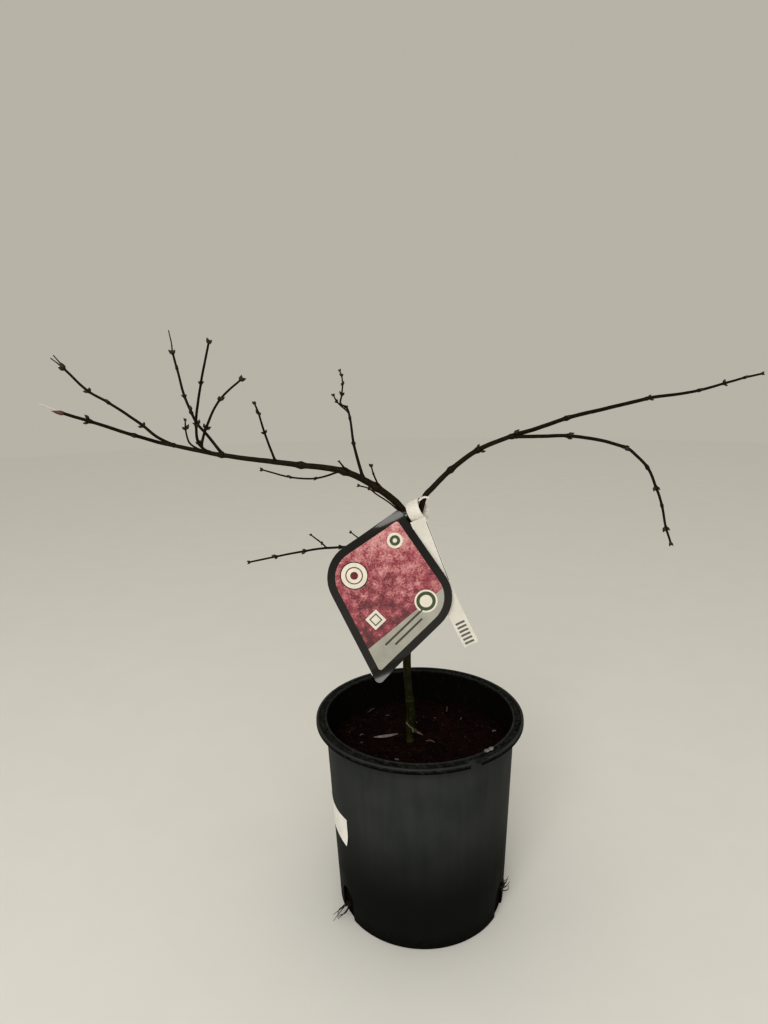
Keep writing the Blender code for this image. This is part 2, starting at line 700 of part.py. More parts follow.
def make_sticker():
    """A plain paper sticker that follows the pot's wall."""
    shape = bmesh.new()
    step = 360.0 / POT_SIDES
    first, last = STICKER_ANGLES
    angles = [first + step * index for index in range(round((last - first) / step) + 1)]
    under, over = GAP, GAP + STICKER_THICKNESS
    section = ((under, STICKER_LOW), (under, STICKER_HIGH), (over, STICKER_HIGH), (over, STICKER_LOW))
    rings = []
    for angle in angles:
        places = [front_angle(angle, wall_radius(height) + proud, height) for proud, height in section]
        rings.append([shape.verts.new(place) for place in places])
    for low, high in zip(rings, rings[1:]):
        for side in range(4):
            following = (side + 1) % 4
            shape.faces.new((low[side], low[following], high[following], high[side]))
    shape.faces.new(list(reversed(rings[0])))
    shape.faces.new(rings[-1])
    return add_object("pot_sticker", shape, "sticker paper")


# ---- trunk and boughs --------------------------------------------------------------------
def trunk_width(rise):
    """The trunk's width at a height above the soil, with its old leaf joints."""
    width = TRUNK_WIDTHS[-1][1]
    for (low, start), (high, following) in zip(TRUNK_WIDTHS, TRUNK_WIDTHS[1:]):
        if low <= rise <= high:
            width = start + (following - start) * (rise - low) / (high - low)
    for joint in TRUNK_JOINTS:
        width *= 1.0 + TRUNK_JOINT_SWELL * math.exp(-((rise - joint) / TRUNK_JOINT_REACH) ** 2)
    return width


def make_trunk():
    """The trunk: a foot cut flat at the soil, a graft knuckle with a stub, and one fork."""
    foot = Vector((*TRUNK_FOOT, SOIL_LEVEL + GAP))
    limb = shape_limb((foot, UP), TRUNK_WAY, (1.0, 1.0), spacing=TRUNK_SPACING)
    limb.radii = [trunk_width(place.z - foot.z) * 0.5 for place in limb.spine]
    stub_way = [foot + Vector(STUB_START), foot + Vector(STUB_END)]
    stub = tube(stub_way, [width * 0.5 for width in STUB_WIDTHS], STUB_SIDES)
    grow("trunk", limb, TRUNK_SIDES, "young bark", [add_object("stub", stub)])
    return limb


def root_of(limbs, carrier, share, aim):
    """Where a limb leaves its carrier: from the tip, or from the side towards a place."""
    if share is None:
        return limbs[carrier].end_root()
    return limbs[carrier].side_root(share, aim)


def make_boughs(limbs):
    for name, carrier, share, aim, way, girth, joints, kink, seed, bare in BOUGHS:
        limb = shape_limb(root_of(limbs, carrier, share, aim), way, girth, joints, kink, seed)
        grow(name, limb, BOUGH_SIDES, "bough bark", bud_pairs(limb, skip=bare))
        limbs[name] = limb


def make_sprays(limbs):
    """The masses: each a shoot with its buds, ending in a pair of buds or in dry stalks."""
    for name, carrier, share, aim, way, girth, joints, kink, seed, bare in SPRAYS:
        limb = shape_limb(root_of(limbs, carrier, share, aim), way, girth, joints, kink, seed)
        extras = bud_pairs(limb, seed * BUD_TURN, bare)
        if name in DRY_STALKS:
            extras += [dry_stalk(limb, tip) for tip in DRY_STALKS[name]]
        else:
            extras += end_buds(limb)
        if name in SIDE_TWIGS:
            share, aim, way, girth, joints, kink, seed = SIDE_TWIGS[name]
            twig = shape_limb(limb.sunk_root(share, aim), way, girth, joints, kink, seed)
            extras += [side_twig(twig)] + bud_pairs(twig) + end_buds(twig)
        grow(name, limb, TWIG_SIDES, "twig bark", extras)


def build():
    clear_scene()
    make_pot()
    make_soil()
    limbs = {"trunk": make_trunk()}
    make_boughs(limbs)
    make_sprays(limbs)
    make_card(limbs["left_bough"])
    make_label(limbs["right_bough"])
    make_sticker()


build()
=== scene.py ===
import math
import random
from dataclasses import dataclass

import bmesh
import bpy
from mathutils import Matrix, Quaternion, Vector, noise


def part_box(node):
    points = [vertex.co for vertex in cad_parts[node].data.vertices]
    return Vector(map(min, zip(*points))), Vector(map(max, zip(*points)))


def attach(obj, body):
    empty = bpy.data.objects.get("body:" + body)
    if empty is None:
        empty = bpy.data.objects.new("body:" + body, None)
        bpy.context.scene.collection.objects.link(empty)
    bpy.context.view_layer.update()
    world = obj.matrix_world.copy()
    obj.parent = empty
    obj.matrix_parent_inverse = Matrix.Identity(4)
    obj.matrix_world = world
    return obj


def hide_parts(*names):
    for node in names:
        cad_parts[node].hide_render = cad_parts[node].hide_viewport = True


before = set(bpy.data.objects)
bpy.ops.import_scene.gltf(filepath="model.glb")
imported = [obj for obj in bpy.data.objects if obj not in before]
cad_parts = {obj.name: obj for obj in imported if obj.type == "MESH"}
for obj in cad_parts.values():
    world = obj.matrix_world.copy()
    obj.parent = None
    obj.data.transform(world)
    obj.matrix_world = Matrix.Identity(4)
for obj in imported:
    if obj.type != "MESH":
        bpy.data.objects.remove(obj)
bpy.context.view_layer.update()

# A young weeping maple without its leaves, in a round black nursery pot. Lengths are in
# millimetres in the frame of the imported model, and become metres as each mesh is made.
MM = 0.001
UP = Vector((0.0, 0.0, 1.0))
GAP = 0.3  # clearance between the solids that touch
ROOT = "root"

# ---- driving dimensions ----
POT_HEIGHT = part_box("pot")[1].z / MM
POT_RIM_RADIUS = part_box("pot")[1].x / MM
SOIL_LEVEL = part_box("trunk")[0].z / MM - GAP
POT_MOUTH_RADIUS = POT_RIM_RADIUS - 10.0
POT_FOOT_RADIUS = POT_RIM_RADIUS - 21.5
POT_WALL = 1.6
POT_SIDES = 192
FLANGE_THICKNESS = 2.6
FLANGE_SKIRT = POT_HEIGHT - 6.0  # height of the hanging edge's foot
FLANGE_GROOVE = 1.8
DRAIN_ANGLES = (-118.0, -62.0, 62.0, 118.0)  # degrees round from the front
DRAIN_WIDTH = 24.0
DRAIN_HEIGHT = 34.0
DRAIN_INWARD = 12.0  # how far in from the foot's edge the slots reach
CUT_PAST = 5.0  # how far a cutter passes the edges above and below it
DRAIN_OUTWARD = 15.0  # how far it passes them outward
NOTCH_OUTWARD = 10.0
NOTCH_ANGLES = (26.0, 206.0)
NOTCH_WIDTH = 13.0
NOTCH_FLOOR = POT_MOUTH_RADIUS + 1.6  # how far in the notches reach
DAMP_AND_SHADE_TOP = 150.0  # the wall's darkening towards the foot, a dark film with painted shade near the floor, fades out here
DAMP_AND_SHADE_FULL = 45.0

COMPOST_SIDES = 180
COMPOST_RINGS = 64  # rings of the compost's surface
COMPOST_LEVELS = 40  # rings of its side
COMPOST_GRID = 70  # squares across the ground that the crumbs are strewn on

TRUNK_FOOT = (-10.5, 0.0)
TRUNK_TOP = 248.0  # the fork, above the compost
TRUNK_WAY = (
    (-11, 0, 191), (-9.5, 0, 204), (-10, 0, 224), (-11.5, 0, 240), (-13, 0, 270), (-8, 0, 357),
    (-7, 0, 428),
)
TRUNK_WIDTHS = (  # rise above the compost, and the width there
    (0, 9.4), (4, 8.0), (9, 7.4), (14, 8.4), (19, 11.4), (27, 11.0), (38, 9.9), (50, 8.8), (58, 8.6),
    (110, 8.8), (TRUNK_TOP, 8.2),
)
GRAFT_RISE = 18.0  # the graft's knuckle, above the compost
TRUNK_JOINTS = (48.0, 112.0, 171.0, 222.0)  # old leaf joints, above the compost
STUB_WAY = ((-9.5, -1.0, 196.0), (-5.0, -3.5, 193.5), (-2.2, -4.6, 193.0))  # the rootstock's cut end
STUB_WIDTHS = (5.4, 4.4)

STEP = 0.6  # spacing of the rings along a shoot
ROUTE_STEPS = 24  # steps of a smooth curve between two of its places
JOINT_SWELL = 0.40  # how much a shoot thickens at a leaf joint
COLLAR_SWELL = 0.55  # how much it thickens where it leaves its carrier
NODE_COLLAR = 0.12  # the same where it carries on from a tip
SUNK_END = 3.0  # how far a shoot starts inside the tip that it carries on
WANDER = 0.28  # small bends of the centre line between the joints
WANDER_LENGTH = 17.0
CALM_LENGTH = 8.0  # a shoot stays on its way this near its ends
SCAR_SWELL = 0.10  # ridge round a shoot just below each joint
WOOD_SKINS = {  # sides of the section, height of the relief against the half width, its size
    "trunk": (40, 0.16, 3.4), "bough": (24, 0.16, 2.2), "twig": (14, 0.14, 1.4),
    "stalk": (8, 0.1, 1.2), "pale stalk": (8, 0.1, 1.2), "root": (6, 0.5, 2.0),
}
BUD_LENGTH = 4.4
BUD_SIDES = 8
BUD_PROFILE = (  # height and radius of a bud that is a unit long
    (0.0, 0.16), (0.10, 0.24), (0.26, 0.29), (0.44, 0.27), (0.60, 0.21), (0.76, 0.135), (0.90, 0.06),
)
OPEN_BUD = 1.5  # a bud of more than this size has begun to grow out
STALK_WIDTH = 1.8

# The shoots in the order they grow, a row each: name; carrier; share of the carrier's length
# where it leaves (None: it carries on from the tip); the places it passes; its width at both
# ends; size of the buds at each leaf joint; seed; turn of the first pair of buds; which places
# are leaf joints (None: all but the last); size of its end buds; how old its bark looks.
SHOOTS = (
    ("left_bough", "trunk", None,
     ((-17, -1, 449), (-43, -3, 472), (-76, -6, 490), (-121, -9, 498), (-202, -14, 511), (-257, -18, 524)),
     (8.1, 3.8), (), 3, 0.75, (1, 2, 3, 4), 0.0, 0.3),
    ("right_bough", "trunk", 0.975,
     ((3, 1, 441), (9, 2, 460), (17, 5, 468), (38, 10, 487), (68, 16, 507), (106, 22, 521)),
     (6.5, 4.7), (0.5, 1.7, 2.5), 1, 0.8, (3, 4, 5), 0.0, 0.2),
    ("right_upper_bough", "right_bough", None,
     ((135, 28, 528), (168, 34, 538), (214, 43, 547), (264, 52, 557)),
     (4.7, 4.0), (1.3, 1.75), 5, 1.05, (1, 3), 0.0),
    ("right_arch_bough", "right_bough", 0.985,
     ((136, 20, 520), (166, 18, 520), (203, 16, 514), (226, 13, 507)),
     (4.1, 3.5), (1.45, 1.4), 2, 0.75, (1, 3), 0.0),
    ("low_left_bough", "trunk", 0.78,
     ((-34, 14, 408), (-66, 20, 402), (-84, 24, 400), (-97, 26, 399)),
     (2.9, 2.5), (0.8,), 4, 0.75, (2,), 0.0),
    ("left_tip", "left_bough", None,
     ((-284, -33, 535), (-321, -48, 551), (-343, -56, 560)),
     (3.7, 3.0), (1.1, 1.9), 11, 1.3, None, 0.0),
    ("left_upper", "left_bough", 0.97,
     ((-269, -10, 531), (-286, 0, 542), (-328, 20, 566), (-352, 29, 578), (-382, 41, 603)),
     (3.2, 2.6), (1.0, 0.8, 1.2, 1.4), 12, 0.7, (1, 2, 3, 4), 1.9),
    ("right_tip", "right_upper_bough", None,
     ((295, 58, 560), (327, 66, 564), (358, 72, 571), (384, 77, 577), (405, 80, 581)),
     (3.8, 2.3), (1.1, 1.0, 0.9), 13, 1.15, (1, 2, 3)),
    ("right_hanging", "right_arch_bough", None,
     ((238, 8, 497), (246, 2, 487), (251, -12, 467), (253, -24, 450), (254, -34, 429), (256, -42, 415)),
     (3.4, 2.1), (0.9, 1.3, 0.6, 1.3), 14, 1.3, (1, 2, 3, 4)),
    ("low_tip", "low_left_bough", None,
     ((-125, 33, 394), (-159, 42, 386), (-191, 49, 378)),
     (2.5, 2.0), (1.0, 1.2), 15, 0.9),
    ("low_side", "low_tip", 0.03,
     ((-104, 16, 407), (-114, 2, 420)),
     (1.8, 1.4), (0.5,), 16, 0.75, None, 0.7),
    ("left_tall", "left_bough", 0.79,
     ((-219, -6, 533), (-229, 0, 543), (-236, 7, 554), (-245, 16, 571), (-256, 33, 601), (-262, 42, 617)),
     (3.2, 2.3), (1.2, 1.6, 0.7, 0.6, 1.4), 21, 0.7, (1, 2, 3, 4, 5), 0.0),
    ("left_pair", "left_bough", 0.84,
     ((-219, -18, 518), (-223, -21, 525), (-222, -30, 544), (-209, -52, 586), (-194, -74, 623)),
     (3.0, 2.0), (0.6, 1.0, 0.7), 22, 0.6, (1, 2, 3), 1.3),
    ("left_pair_side", "left_pair", 0.09,
     ((-217, -12, 539), (-205, 5, 567), (-186, 24, 587)),
     (2.8, 2.1), (1.2, 1.4), 23, 0.75, None, 1.6),
    ("left_short", "left_bough", 0.87,
     ((-232, -20, 524), (-233, -25, 530), (-233, -30, 540), (-231, -36, 549)),
     (2.2, 1.4), (1.2,), 24, 0.6, (2,), 0.8),
    ("left_middle", "left_bough", 0.60,
     ((-153, -34, 535), (-155, -50, 555), (-157, -58, 565)),
     (2.6, 1.7), (1.0, 1.2), 25, 0.5),
    ("left_under", "left_bough", 0.35,
     ((-108, 14, 480), (-138, 32, 479), (-172, 52, 485)),
     (2.2, 1.7), (0.6, 0.9), 26, 0.75, None, 1.1),
    ("left_spur", "left_bough", 0.325, ((-80, -18, 502),), (2.4, 1.5), (), 27, 0.75, None, 0.6),
    ("upright", "left_bough", 0.265,
     ((-66, 16, 517), (-70, 30, 543), (-74, 37, 555), (-80, 40, 558), (-79, 46, 568), (-78, 51, 579),
      (-79, 55, 589), (-81, 58, 594)),
     (3.5, 1.4), (0.5, 1.0, 0.5, 0.5, 1.1, 0.9, 0.8), 34, 0.6, None, 0.8),
    ("upright_side", "upright", 0.59,
     ((-84, 36, 561), (-87, 30, 568)),
     (1.8, 1.4), (0.6,), 35, 0.75, None, 0.9),
    ("inner_spur", "left_bough", 0.185,
     ((-45, -14, 488), (-47, -22, 497)),
     (2.0, 1.5), (), 29, 0.75, None, 1.1),
    ("inner_under", "left_bough", 0.02,
     ((-27, -7, 454), (-42, -9, 465), (-50, -12, 472), (-60, -16, 476)),
     (1.8, 1.4), (0.5,), 33, 0.6, (2,), 0.8),
    ("low_spur", "low_left_bough", 0.62, ((-72, 30, 415),), (1.6, 1.3), (), 31, 0.75, None, 0.8),
)
DRY_STALKS = {  # where each dry leaf stalk on a shoot's tip ends
    "left_upper": ((-399, 48, 615), (-392, 40, 618)),
    "left_tall": ((-269, 55, 643),),
}
FAT_BUD_SHOOT = "left_tip"  # ends in one swollen bud and a bleached stalk
FAT_BUD_LENGTH = 12.0
PALE_STALK_END = (-363, -62, 570.5)

CARD_CORNERS = ((-18.5, 449), (48, 348), (-45.5, 260), (-108, 390))  # across, up; clockwise
CARD_ROUNDING = (6.0, 40.0, 6.0, 40.0)
CARD_THICKNESS = 0.6
CARD_TOP_DEPTH = -10.0
CARD_FOOT_DEPTH = -24.0
CARD_BORDER = 8.6
CARD_CURL = 6.4  # how far the lower tip curls forward
CARD_CURL_REACH = 20.0
CARD_CURL_RUN = (-0.36, 0.93)  # across and up: the way that the curl fades
CARD_TOP_BEND = 0.031  # how fast the card's upper left edge bends back near its top
CARD_BEND_REACH = 12.0  # how far in from that edge the bend starts
CARD_BEND_FADE = 46.0  # how far down that edge it dies away
CARD_BOW = 1.6  # how far the sides bow back, and the line they bow about
CARD_BOW_MIDDLE = -31.0
CARD_BOW_REACH = 70.0
CARD_FRAME = ((-110.0, 160.0), (255.0, 195.0))  # start and reach of the cuts, across and up
BEND_MARGIN = 6.0  # the cuts at the curl start this far below the tip
BEND_STEP = 1.6  # spacing of the cuts where the card bends
SHEET_STEP = 7.0  # the same elsewhere
PICTURE_ROUNDING = (3.0, 31.0, 3.0, 31.0)
PICTURE_DIVIDE = ((24, 362), (-49.6, 303))  # the line between picture and panel
PRINT_LIFT = 0.07  # each layer of ink stands this much above the last
PRINT_THICKNESS = PRINT_LIFT * 0.9
BADGES = (  # middle, then the radius and finish of each disc
    ((-68.0, 379.0),
     ((15.0, "card"), (14.0, "badge"), (9.4, "wine ink"), (8.2, "badge"), (4.2, "wine ink"))),
    ((8.0, 350.0), ((12.4, "badge"), (10.4, "leaf ink"), (6.8, "badge"))),
    ((-24.0, 416.0), ((8.4, "badge"), (5.6, "leaf ink"), (2.4, "badge"))),
)
STAMP_MIDDLE = (-46.0, 331.0)
STAMP_SQUARES = ((8.0, "badge"), (5.0, "dark ink"), (3.8, "badge"))  # half a side, and finish
RULES = ((24.0, 34.0, 92.0), (17.0, 44.0, 84.0))  # in from the lower edge; start and end along it
RULE_WIDTH = 2.2
STRAP_SHARE = 0.06  # where on the left bough the strap hangs
STRAP_DROP = 14.0  # how far below the card's top the strap is fixed
STRAP_WIDTH = 5.0
STRAP_THICKNESS = 0.6

LABEL_WIDTH = 17.0
LABEL_THICKNESS = 0.3
LABEL_LOOP_RADIUS = 12.3
LABEL_LOOP_WIDTH = 14.8
LABEL_LOOP_CENTRE = (1.1, -1.8, 445.4)
LABEL_LOOP_AXIS = (0.83, -0.33, 0.45)
LABEL_LOCK_WAY = ((1.8, -9.0, 457.4), (7.3, -6.6, 460.6), (13.0, -5.4, 459.8))
LABEL_LOCK_WIDTH = 2.2
LABEL_TAIL_WAY = ((0.5, -12.6, 438), (6.0, -9.8, 423), (33, -11.2, 350), (57, -12, 298))
LABEL_ACROSS = (0.95, 0.0, 0.31)  # the tail's width runs this way
LABEL_BOW = 0.6
# A painted shadow line along the tail's right edge, where the label's layers meet
LABEL_EDGE_SHADOW = (LABEL_WIDTH * 0.5 - 0.9, 0.7, 8, 42)  # place across, width, first and last step
LABEL_BARS = tuple((-0.4, 10.5, first, first + 1) for first in range(60, 71, 2))

STICKER_ANGLES = (-102.0, -54.0)
STICKER_LOW = 95.0
STICKER_HIGH = 125.0
STICKER_FACES = (0.22, 0.40)  # its back and its front, out from the wall
STICKER_GRID = (40, 16)

SLIVERS = (  # places that each passes, its width and its finish
    (((-52, 3, 183.4), (-44, 1.5, 185.0), (-34, 3, 185.2), (-24, 8, 184.2)), 3.2, "chip"),
    (((-5, -5, 193.8), (-1, -6, 193.0), (3.5, -6.5, 190.0)), 2.6, "dull chip"),
    (((6.5, -7, 183.0), (11.5, -8, 184.8), (16.5, -10, 183.0)), 1.6, "dull chip"),
    (((-68, 7, 182.6), (-66, 9, 184.0), (-63, 9.5, 183.0)), 1.4, "dull chip"),
    (((-67, -7, 182.6), (-65.5, -8, 183.8), (-63.5, -6.5, 182.8)), 1.5, "dull chip"),
    (((84, 11, 182.4), (86, 12.5, 183.4), (88.5, 12, 182.8)), 1.8, "chip"),
    (((50, 40, 182.4), (52, 41, 183.6), (53, 44, 182.8)), 1.6, "dull chip"),
    (((-60, 62, 182.0), (-55, 66, 183.8), (-51, 72, 182.4)), 1.2, "dull chip"),
    (((-38, 55, 182.2), (-36, 52, 183.6), (-32, 54, 182.4)), 1.3, "dull chip"),
    (((36, 60, 182.0), (38, 66, 184.2), (37, 72, 183.0)), 1.2, "dull chip"),
    (((-29.5, -93.0, 214.6), (-27.3, -94.0, 215.0), (-25.3, -95.0, 214.7)), 1.7, "dull chip"),
)
SLIVER_ACROSS = (0.3, 0.8, 0.5)
TAPE_WAYS = (  # a scrap of old grafting tape: what each strand passes
    ((-15.0, -3.9, 204.6), (-12.5, -5.4, 202.2), (-9.5, -6.2, 199.2), (-7.4, -6.0, 198.0)),
    ((-8.4, -6.2, 199.6), (-7.4, -6.6, 196.6), (-7.6, -6.2, 193.6)),
)
TAPE_ACROSS = (0.3, -0.2, 1.0)
BIT_STEPS = 5
MUD = (  # middle, size, turn and finish
    ((63.2, -84.4, 216.4), (6.2, 4.4, 2.2), 25.0, "stone"),
    ((68.2, -81.4, 216.5), (5.4, 4.8, 2.6), 70.0, "stone"),
    ((58.2, -96.5, 214.9), (13.0, 4.4, 2.6), 32.0, "mud"),
    ((66.5, -89.0, 215.2), (10.0, 4.2, 2.8), 42.0, "mud"),
    ((52.6, -98.6, 213.4), (4.6, 3.8, 4.6), 20.0, "mud"),
    ((74.0, -83.5, 215.0), (8.0, 3.6, 2.4), 52.0, "mud"),
)
ROOT_TUFTS = (  # start and end of each tuft of feeder roots, its spread, and its strands
    ((-82.0, -43.0, 13.0), (-97.0, -53.0, 6.0), 4.5, 7),
    ((86.0, -36.0, 21.0), (93.5, -31.0, 27.0), 4.2, 9),
)
TUFT_START = 2.0  # how far apart a tuft's strands start
TUFT_BEND = 3.4  # how far they stray half way
ROOT_WIDTHS = (1.4, 0.4)
LOWEST_ROOT = 0.8

# ---- stage ----
FRAME_SIZE = (768, 1024)
FRAME_CENTRE = (382.5, 473.5)  # where the lens looks, in pixels
CAMERA_FOCAL = 690.0  # in pixels
CAMERA_PLACE = (-0.0356, -0.724, 0.598)
CAMERA_PITCH = 8.8  # degrees down
CAMERA_ROLL = -1.19
FLOOR_RADIUS = 5000.0
AIR_COLOUR = "#aeaaa0"
LIGHTS = (  # kind, place, target, power, size in metres or degrees, colour
    ("window_side", "AREA", (-0.6, -2.0, 1.75), (0.0, 0.0, 0.3), 26.0, 1.3, "#fffdf8"),
    ("fill", "AREA", (0.5, -2.1, 0.9), (0.0, 0.0, 0.2), 4.0, 0.9, "#f4f6ff"),
    ("overhead", "SUN", (0.0, 0.0, 3.0), (0.0, 0.0, 0.0), 0.37, 120.0, "#ffffff"),
)

# ---- nodes and finishes ----
ATTRIBUTE = "ShaderNodeAttribute"
COMBINE = "ShaderNodeCombineXYZ"
MAPPING = "ShaderNodeMapping"
MATH = "ShaderNodeMath"
MIX = "ShaderNodeMix"
NAMED = "GeometryNodeInputNamedAttribute"
NOISE = "ShaderNodeTexNoise"
RANDOM = "FunctionNodeRandomValue"
RANGE = "ShaderNodeMapRange"
ROTATE = "FunctionNodeRotateRotation"
STORE = "GeometryNodeStoreNamedAttribute"
VECTOR_MATH = "ShaderNodeVectorMath"
FACTOR, FIRST, SECOND = 0, 6, 7  # sockets of a Mix node for colours
SCALE = 3  # scale socket of a VectorMath node


def linear(hex_colour):
    """Turns an sRGB hex colour into linear red, green, blue and alpha."""
    channels = [int(hex_colour[start:start + 2], 16) / 255.0 for start in (1, 3, 5)]
    return [c / 12.92 if c <= 0.04045 else ((c + 0.055) / 1.055) ** 2.4 for c in channels] + [1.0]


def add_node(tree, kind, links=None, **settings):
    """Adds a node. Links map a socket to a plain value, a hex colour, another node's
    output, or another node, which stands for its first output that is in use."""
    node = tree.nodes.new(kind)
    for name, value in settings.items():
        setattr(node, name, value)
    for socket, value in (links or {}).items():
        if isinstance(value, bpy.types.Node):
            value = next(output for output in value.outputs if output.enabled)
        if isinstance(value, bpy.types.NodeSocket):
            tree.links.new(value, node.inputs[socket])
        else:
            is_colour = isinstance(value, str) and value.startswith("#")
            node.inputs[socket].default_value = linear(value) if is_colour else value
    return node


def new_finish(name, roughness, ior, values):
    """A material whose even values sit on the shader's own sockets."""
    material = bpy.data.materials.new(name)
    material.use_nodes = True
    shader = material.node_tree.nodes["Principled BSDF"]
    for socket, value in {"Roughness": roughness, "IOR": ior, **values}.items():
        shader.inputs[socket].default_value = value
    return material, material.node_tree, shader


def feature(size):
    """Texture scale that makes a pattern's features this long, in millimetres."""
    return 1.0 / (size * MM)


def paint(tree, shader, colour, films, height=None, depth=0.0):
    """Gives the shader a colour under films of other colours, each laid on by its share,
    and a height pattern as relief of a depth in millimetres."""
    for share, film in films:
        colour = add_node(tree, MIX, {FACTOR: share, FIRST: colour, SECOND: film}, data_type="RGBA")
    tree.links.new(colour.outputs[2], shader.inputs["Base Color"])
    if height:
        relief = {"Strength": 1.0, "Distance": depth * MM, "Height": height}
        bump = add_node(tree, "ShaderNodeBump", relief)
        tree.links.new(bump.outputs["Normal"], shader.inputs["Normal"])


def bark_finish(name, dark, pale, worn, pore, roughness, pore_spacing):
    """Thin young bark: a smooth skin with lengthwise streaks, pale breathing pores, and
    duller, browner skin where an attribute says that it is older or scarred. Real streaks
    are a tenth of a millimetre wide: they are drawn coarser, so that they show."""
    material, tree, shader = new_finish(name, roughness, 1.4, {"Specular IOR Level": 0.16})
    grain = add_node(tree, ATTRIBUTE, attribute_name="grain").outputs["Vector"]
    streak_size = (feature(0.55), feature(0.55), feature(5.0))
    streak_place = add_node(tree, MAPPING, {"Vector": grain, "Scale": streak_size})
    streaks = add_node(tree, NOISE, {"Vector": streak_place, "Scale": 1.0, "Detail": 5.0})
    patches = add_node(tree, NOISE, {"Vector": grain, "Scale": feature(9.0), "Detail": 3.0})
    mottle = add_node(tree, MATH, {0: streaks, 1: patches})
    blend = add_node(tree, RANGE, {"Value": mottle, "From Min": 0.8, "From Max": 1.25})
    age = add_node(tree, ATTRIBUTE, attribute_name="age").outputs["Fac"]
    pore_size = (feature(pore_spacing * 0.6), feature(pore_spacing * 0.6), feature(pore_spacing))
    pore_place = add_node(tree, MAPPING, {"Vector": grain, "Scale": pore_size})
    pores = add_node(tree, "ShaderNodeTexVoronoi", {"Vector": pore_place, "Scale": 1.0})
    spots = add_node(tree, RANGE, {"Value": pores, "From Min": 0.24, "From Max": 0.12, "To Max": 0.55})
    height = add_node(tree, MATH, {0: spots, 1: streaks}, operation="ADD")
    paint(tree, shader, dark, ((blend, pale), (age, worn), (spots, pore)), height, 0.22)
    return material


def speckled_finish(name, first, second, size, roughness, relief, ior=1.5, values=None):
    """A finish whose colour drifts between two colours in patches of one real size."""
    material, tree, shader = new_finish(name, roughness, ior, values or {})
    place = add_node(tree, "ShaderNodeTexCoord").outputs["Object"]
    broad = {"Vector": place, "Scale": feature(size), "Detail": 4.0, "Roughness": 0.6}
    patches = add_node(tree, NOISE, broad)
    spread = add_node(tree, RANGE, {"Value": patches, "From Min": 0.32, "From Max": 0.68})
    fine = add_node(tree, NOISE, {"Vector": place, "Scale": feature(size * 0.22), "Detail": 3.0})
    paint(tree, shader, first, ((spread, second),), fine, relief)
    return material


def pot_finish():
    """Black polypropylene, injection moulded: a dull, slightly pebbled skin with a soft
    sheen, faint lengthwise draw marks, pale scuffs and dried compost dust in the rim. The
    wall is darker towards the foot, partly a dark film from standing on wet ground and partly
    painted shade near the floor; painted shade also darkens the inside of the wall and a line
    along the flange skirt's lower edge. The pebbling is really a fifth of a millimetre across:
    it is drawn coarser, so that it shows."""
    material, tree, shader = new_finish("injection moulded black polypropylene", 0.48, 1.49,
                                        {"Specular IOR Level": 0.03})
    place = add_node(tree, "ShaderNodeTexCoord").outputs["Object"]
    draw_size = (feature(16), feature(16), feature(220))
    draw_place = add_node(tree, MAPPING, {"Vector": place, "Scale": draw_size})
    draws = add_node(tree, NOISE, {"Vector": draw_place, "Scale": 1.0, "Detail": 5.0})
    clouds = add_node(tree, NOISE, {"Vector": place, "Scale": feature(46), "Detail": 3.0})
    haze = add_node(tree, MATH, {0: draws, 1: clouds}, operation="ADD")
    shade = add_node(tree, RANGE, {"Value": haze, "From Min": 0.75, "From Max": 1.25})
    scuff_size = (feature(1.1), feature(1.1), feature(14))
    aslant = {"Vector": place, "Rotation": (0.5, 0.3, 0.2), "Scale": scuff_size}
    scuff_place = add_node(tree, MAPPING, aslant)
    scuffs = add_node(tree, NOISE, {"Vector": scuff_place, "Scale": 1.0, "Detail": 6.0})
    scuff = add_node(tree, RANGE, {"Value": scuffs, "From Min": 0.68, "From Max": 0.80, "To Max": 0.22})
    up = add_node(tree, "ShaderNodeSeparateXYZ", {"Vector": place}).outputs["Z"]
    # damp: darker towards the foot, partly a dark film from wet ground and partly painted shade near the
    # floor
    damp = add_node(tree, RANGE, {"Value": up, "From Min": DAMP_AND_SHADE_TOP * MM, "From Max": DAMP_AND_SHADE_FULL * MM,
                                  "To Max": 0.9}, interpolation_type="SMOOTHSTEP")
    # This attribute carries real dust and mud in the rim, and painted shade inside the wall, along the
    # skirt's lower edge and near the foot
    dirt = add_node(tree, ATTRIBUTE, attribute_name="dirt").outputs["Fac"]
    grit = add_node(tree, NOISE, {"Vector": place, "Scale": feature(5), "Detail": 6.0, "Roughness": 0.7})
    caked_dirt_and_shade = add_node(tree, MATH, {0: dirt, 1: grit}, operation="MULTIPLY")
    cover = add_node(tree, RANGE, {"Value": caked_dirt_and_shade, "From Min": 0.15, "From Max": 0.42})
    dull = add_node(tree, MATH, {0: cover, 1: shade}, operation="ADD")
    gloss = add_node(tree, RANGE, {"Value": dull, "From Max": 2.0, "To Min": 0.42, "To Max": 0.85})
    tree.links.new(gloss.outputs[0], shader.inputs["Roughness"])
    pebble = add_node(tree, NOISE, {"Vector": place, "Scale": feature(0.7), "Detail": 2.0})
    height = add_node(tree, MATH, {0: pebble, 1: draws}, operation="ADD")
    # 131412 is the foot's film with painted shade; #100e0b is the rim's dust with the painted shade inside
    # the wall and under the skirt
    films = ((shade, "#3c3e3d"), (scuff, "#555551"), (damp, "#131412"), (cover, "#100e0b"))
    paint(tree, shader, "#303332", films, height, 0.05)
    return material


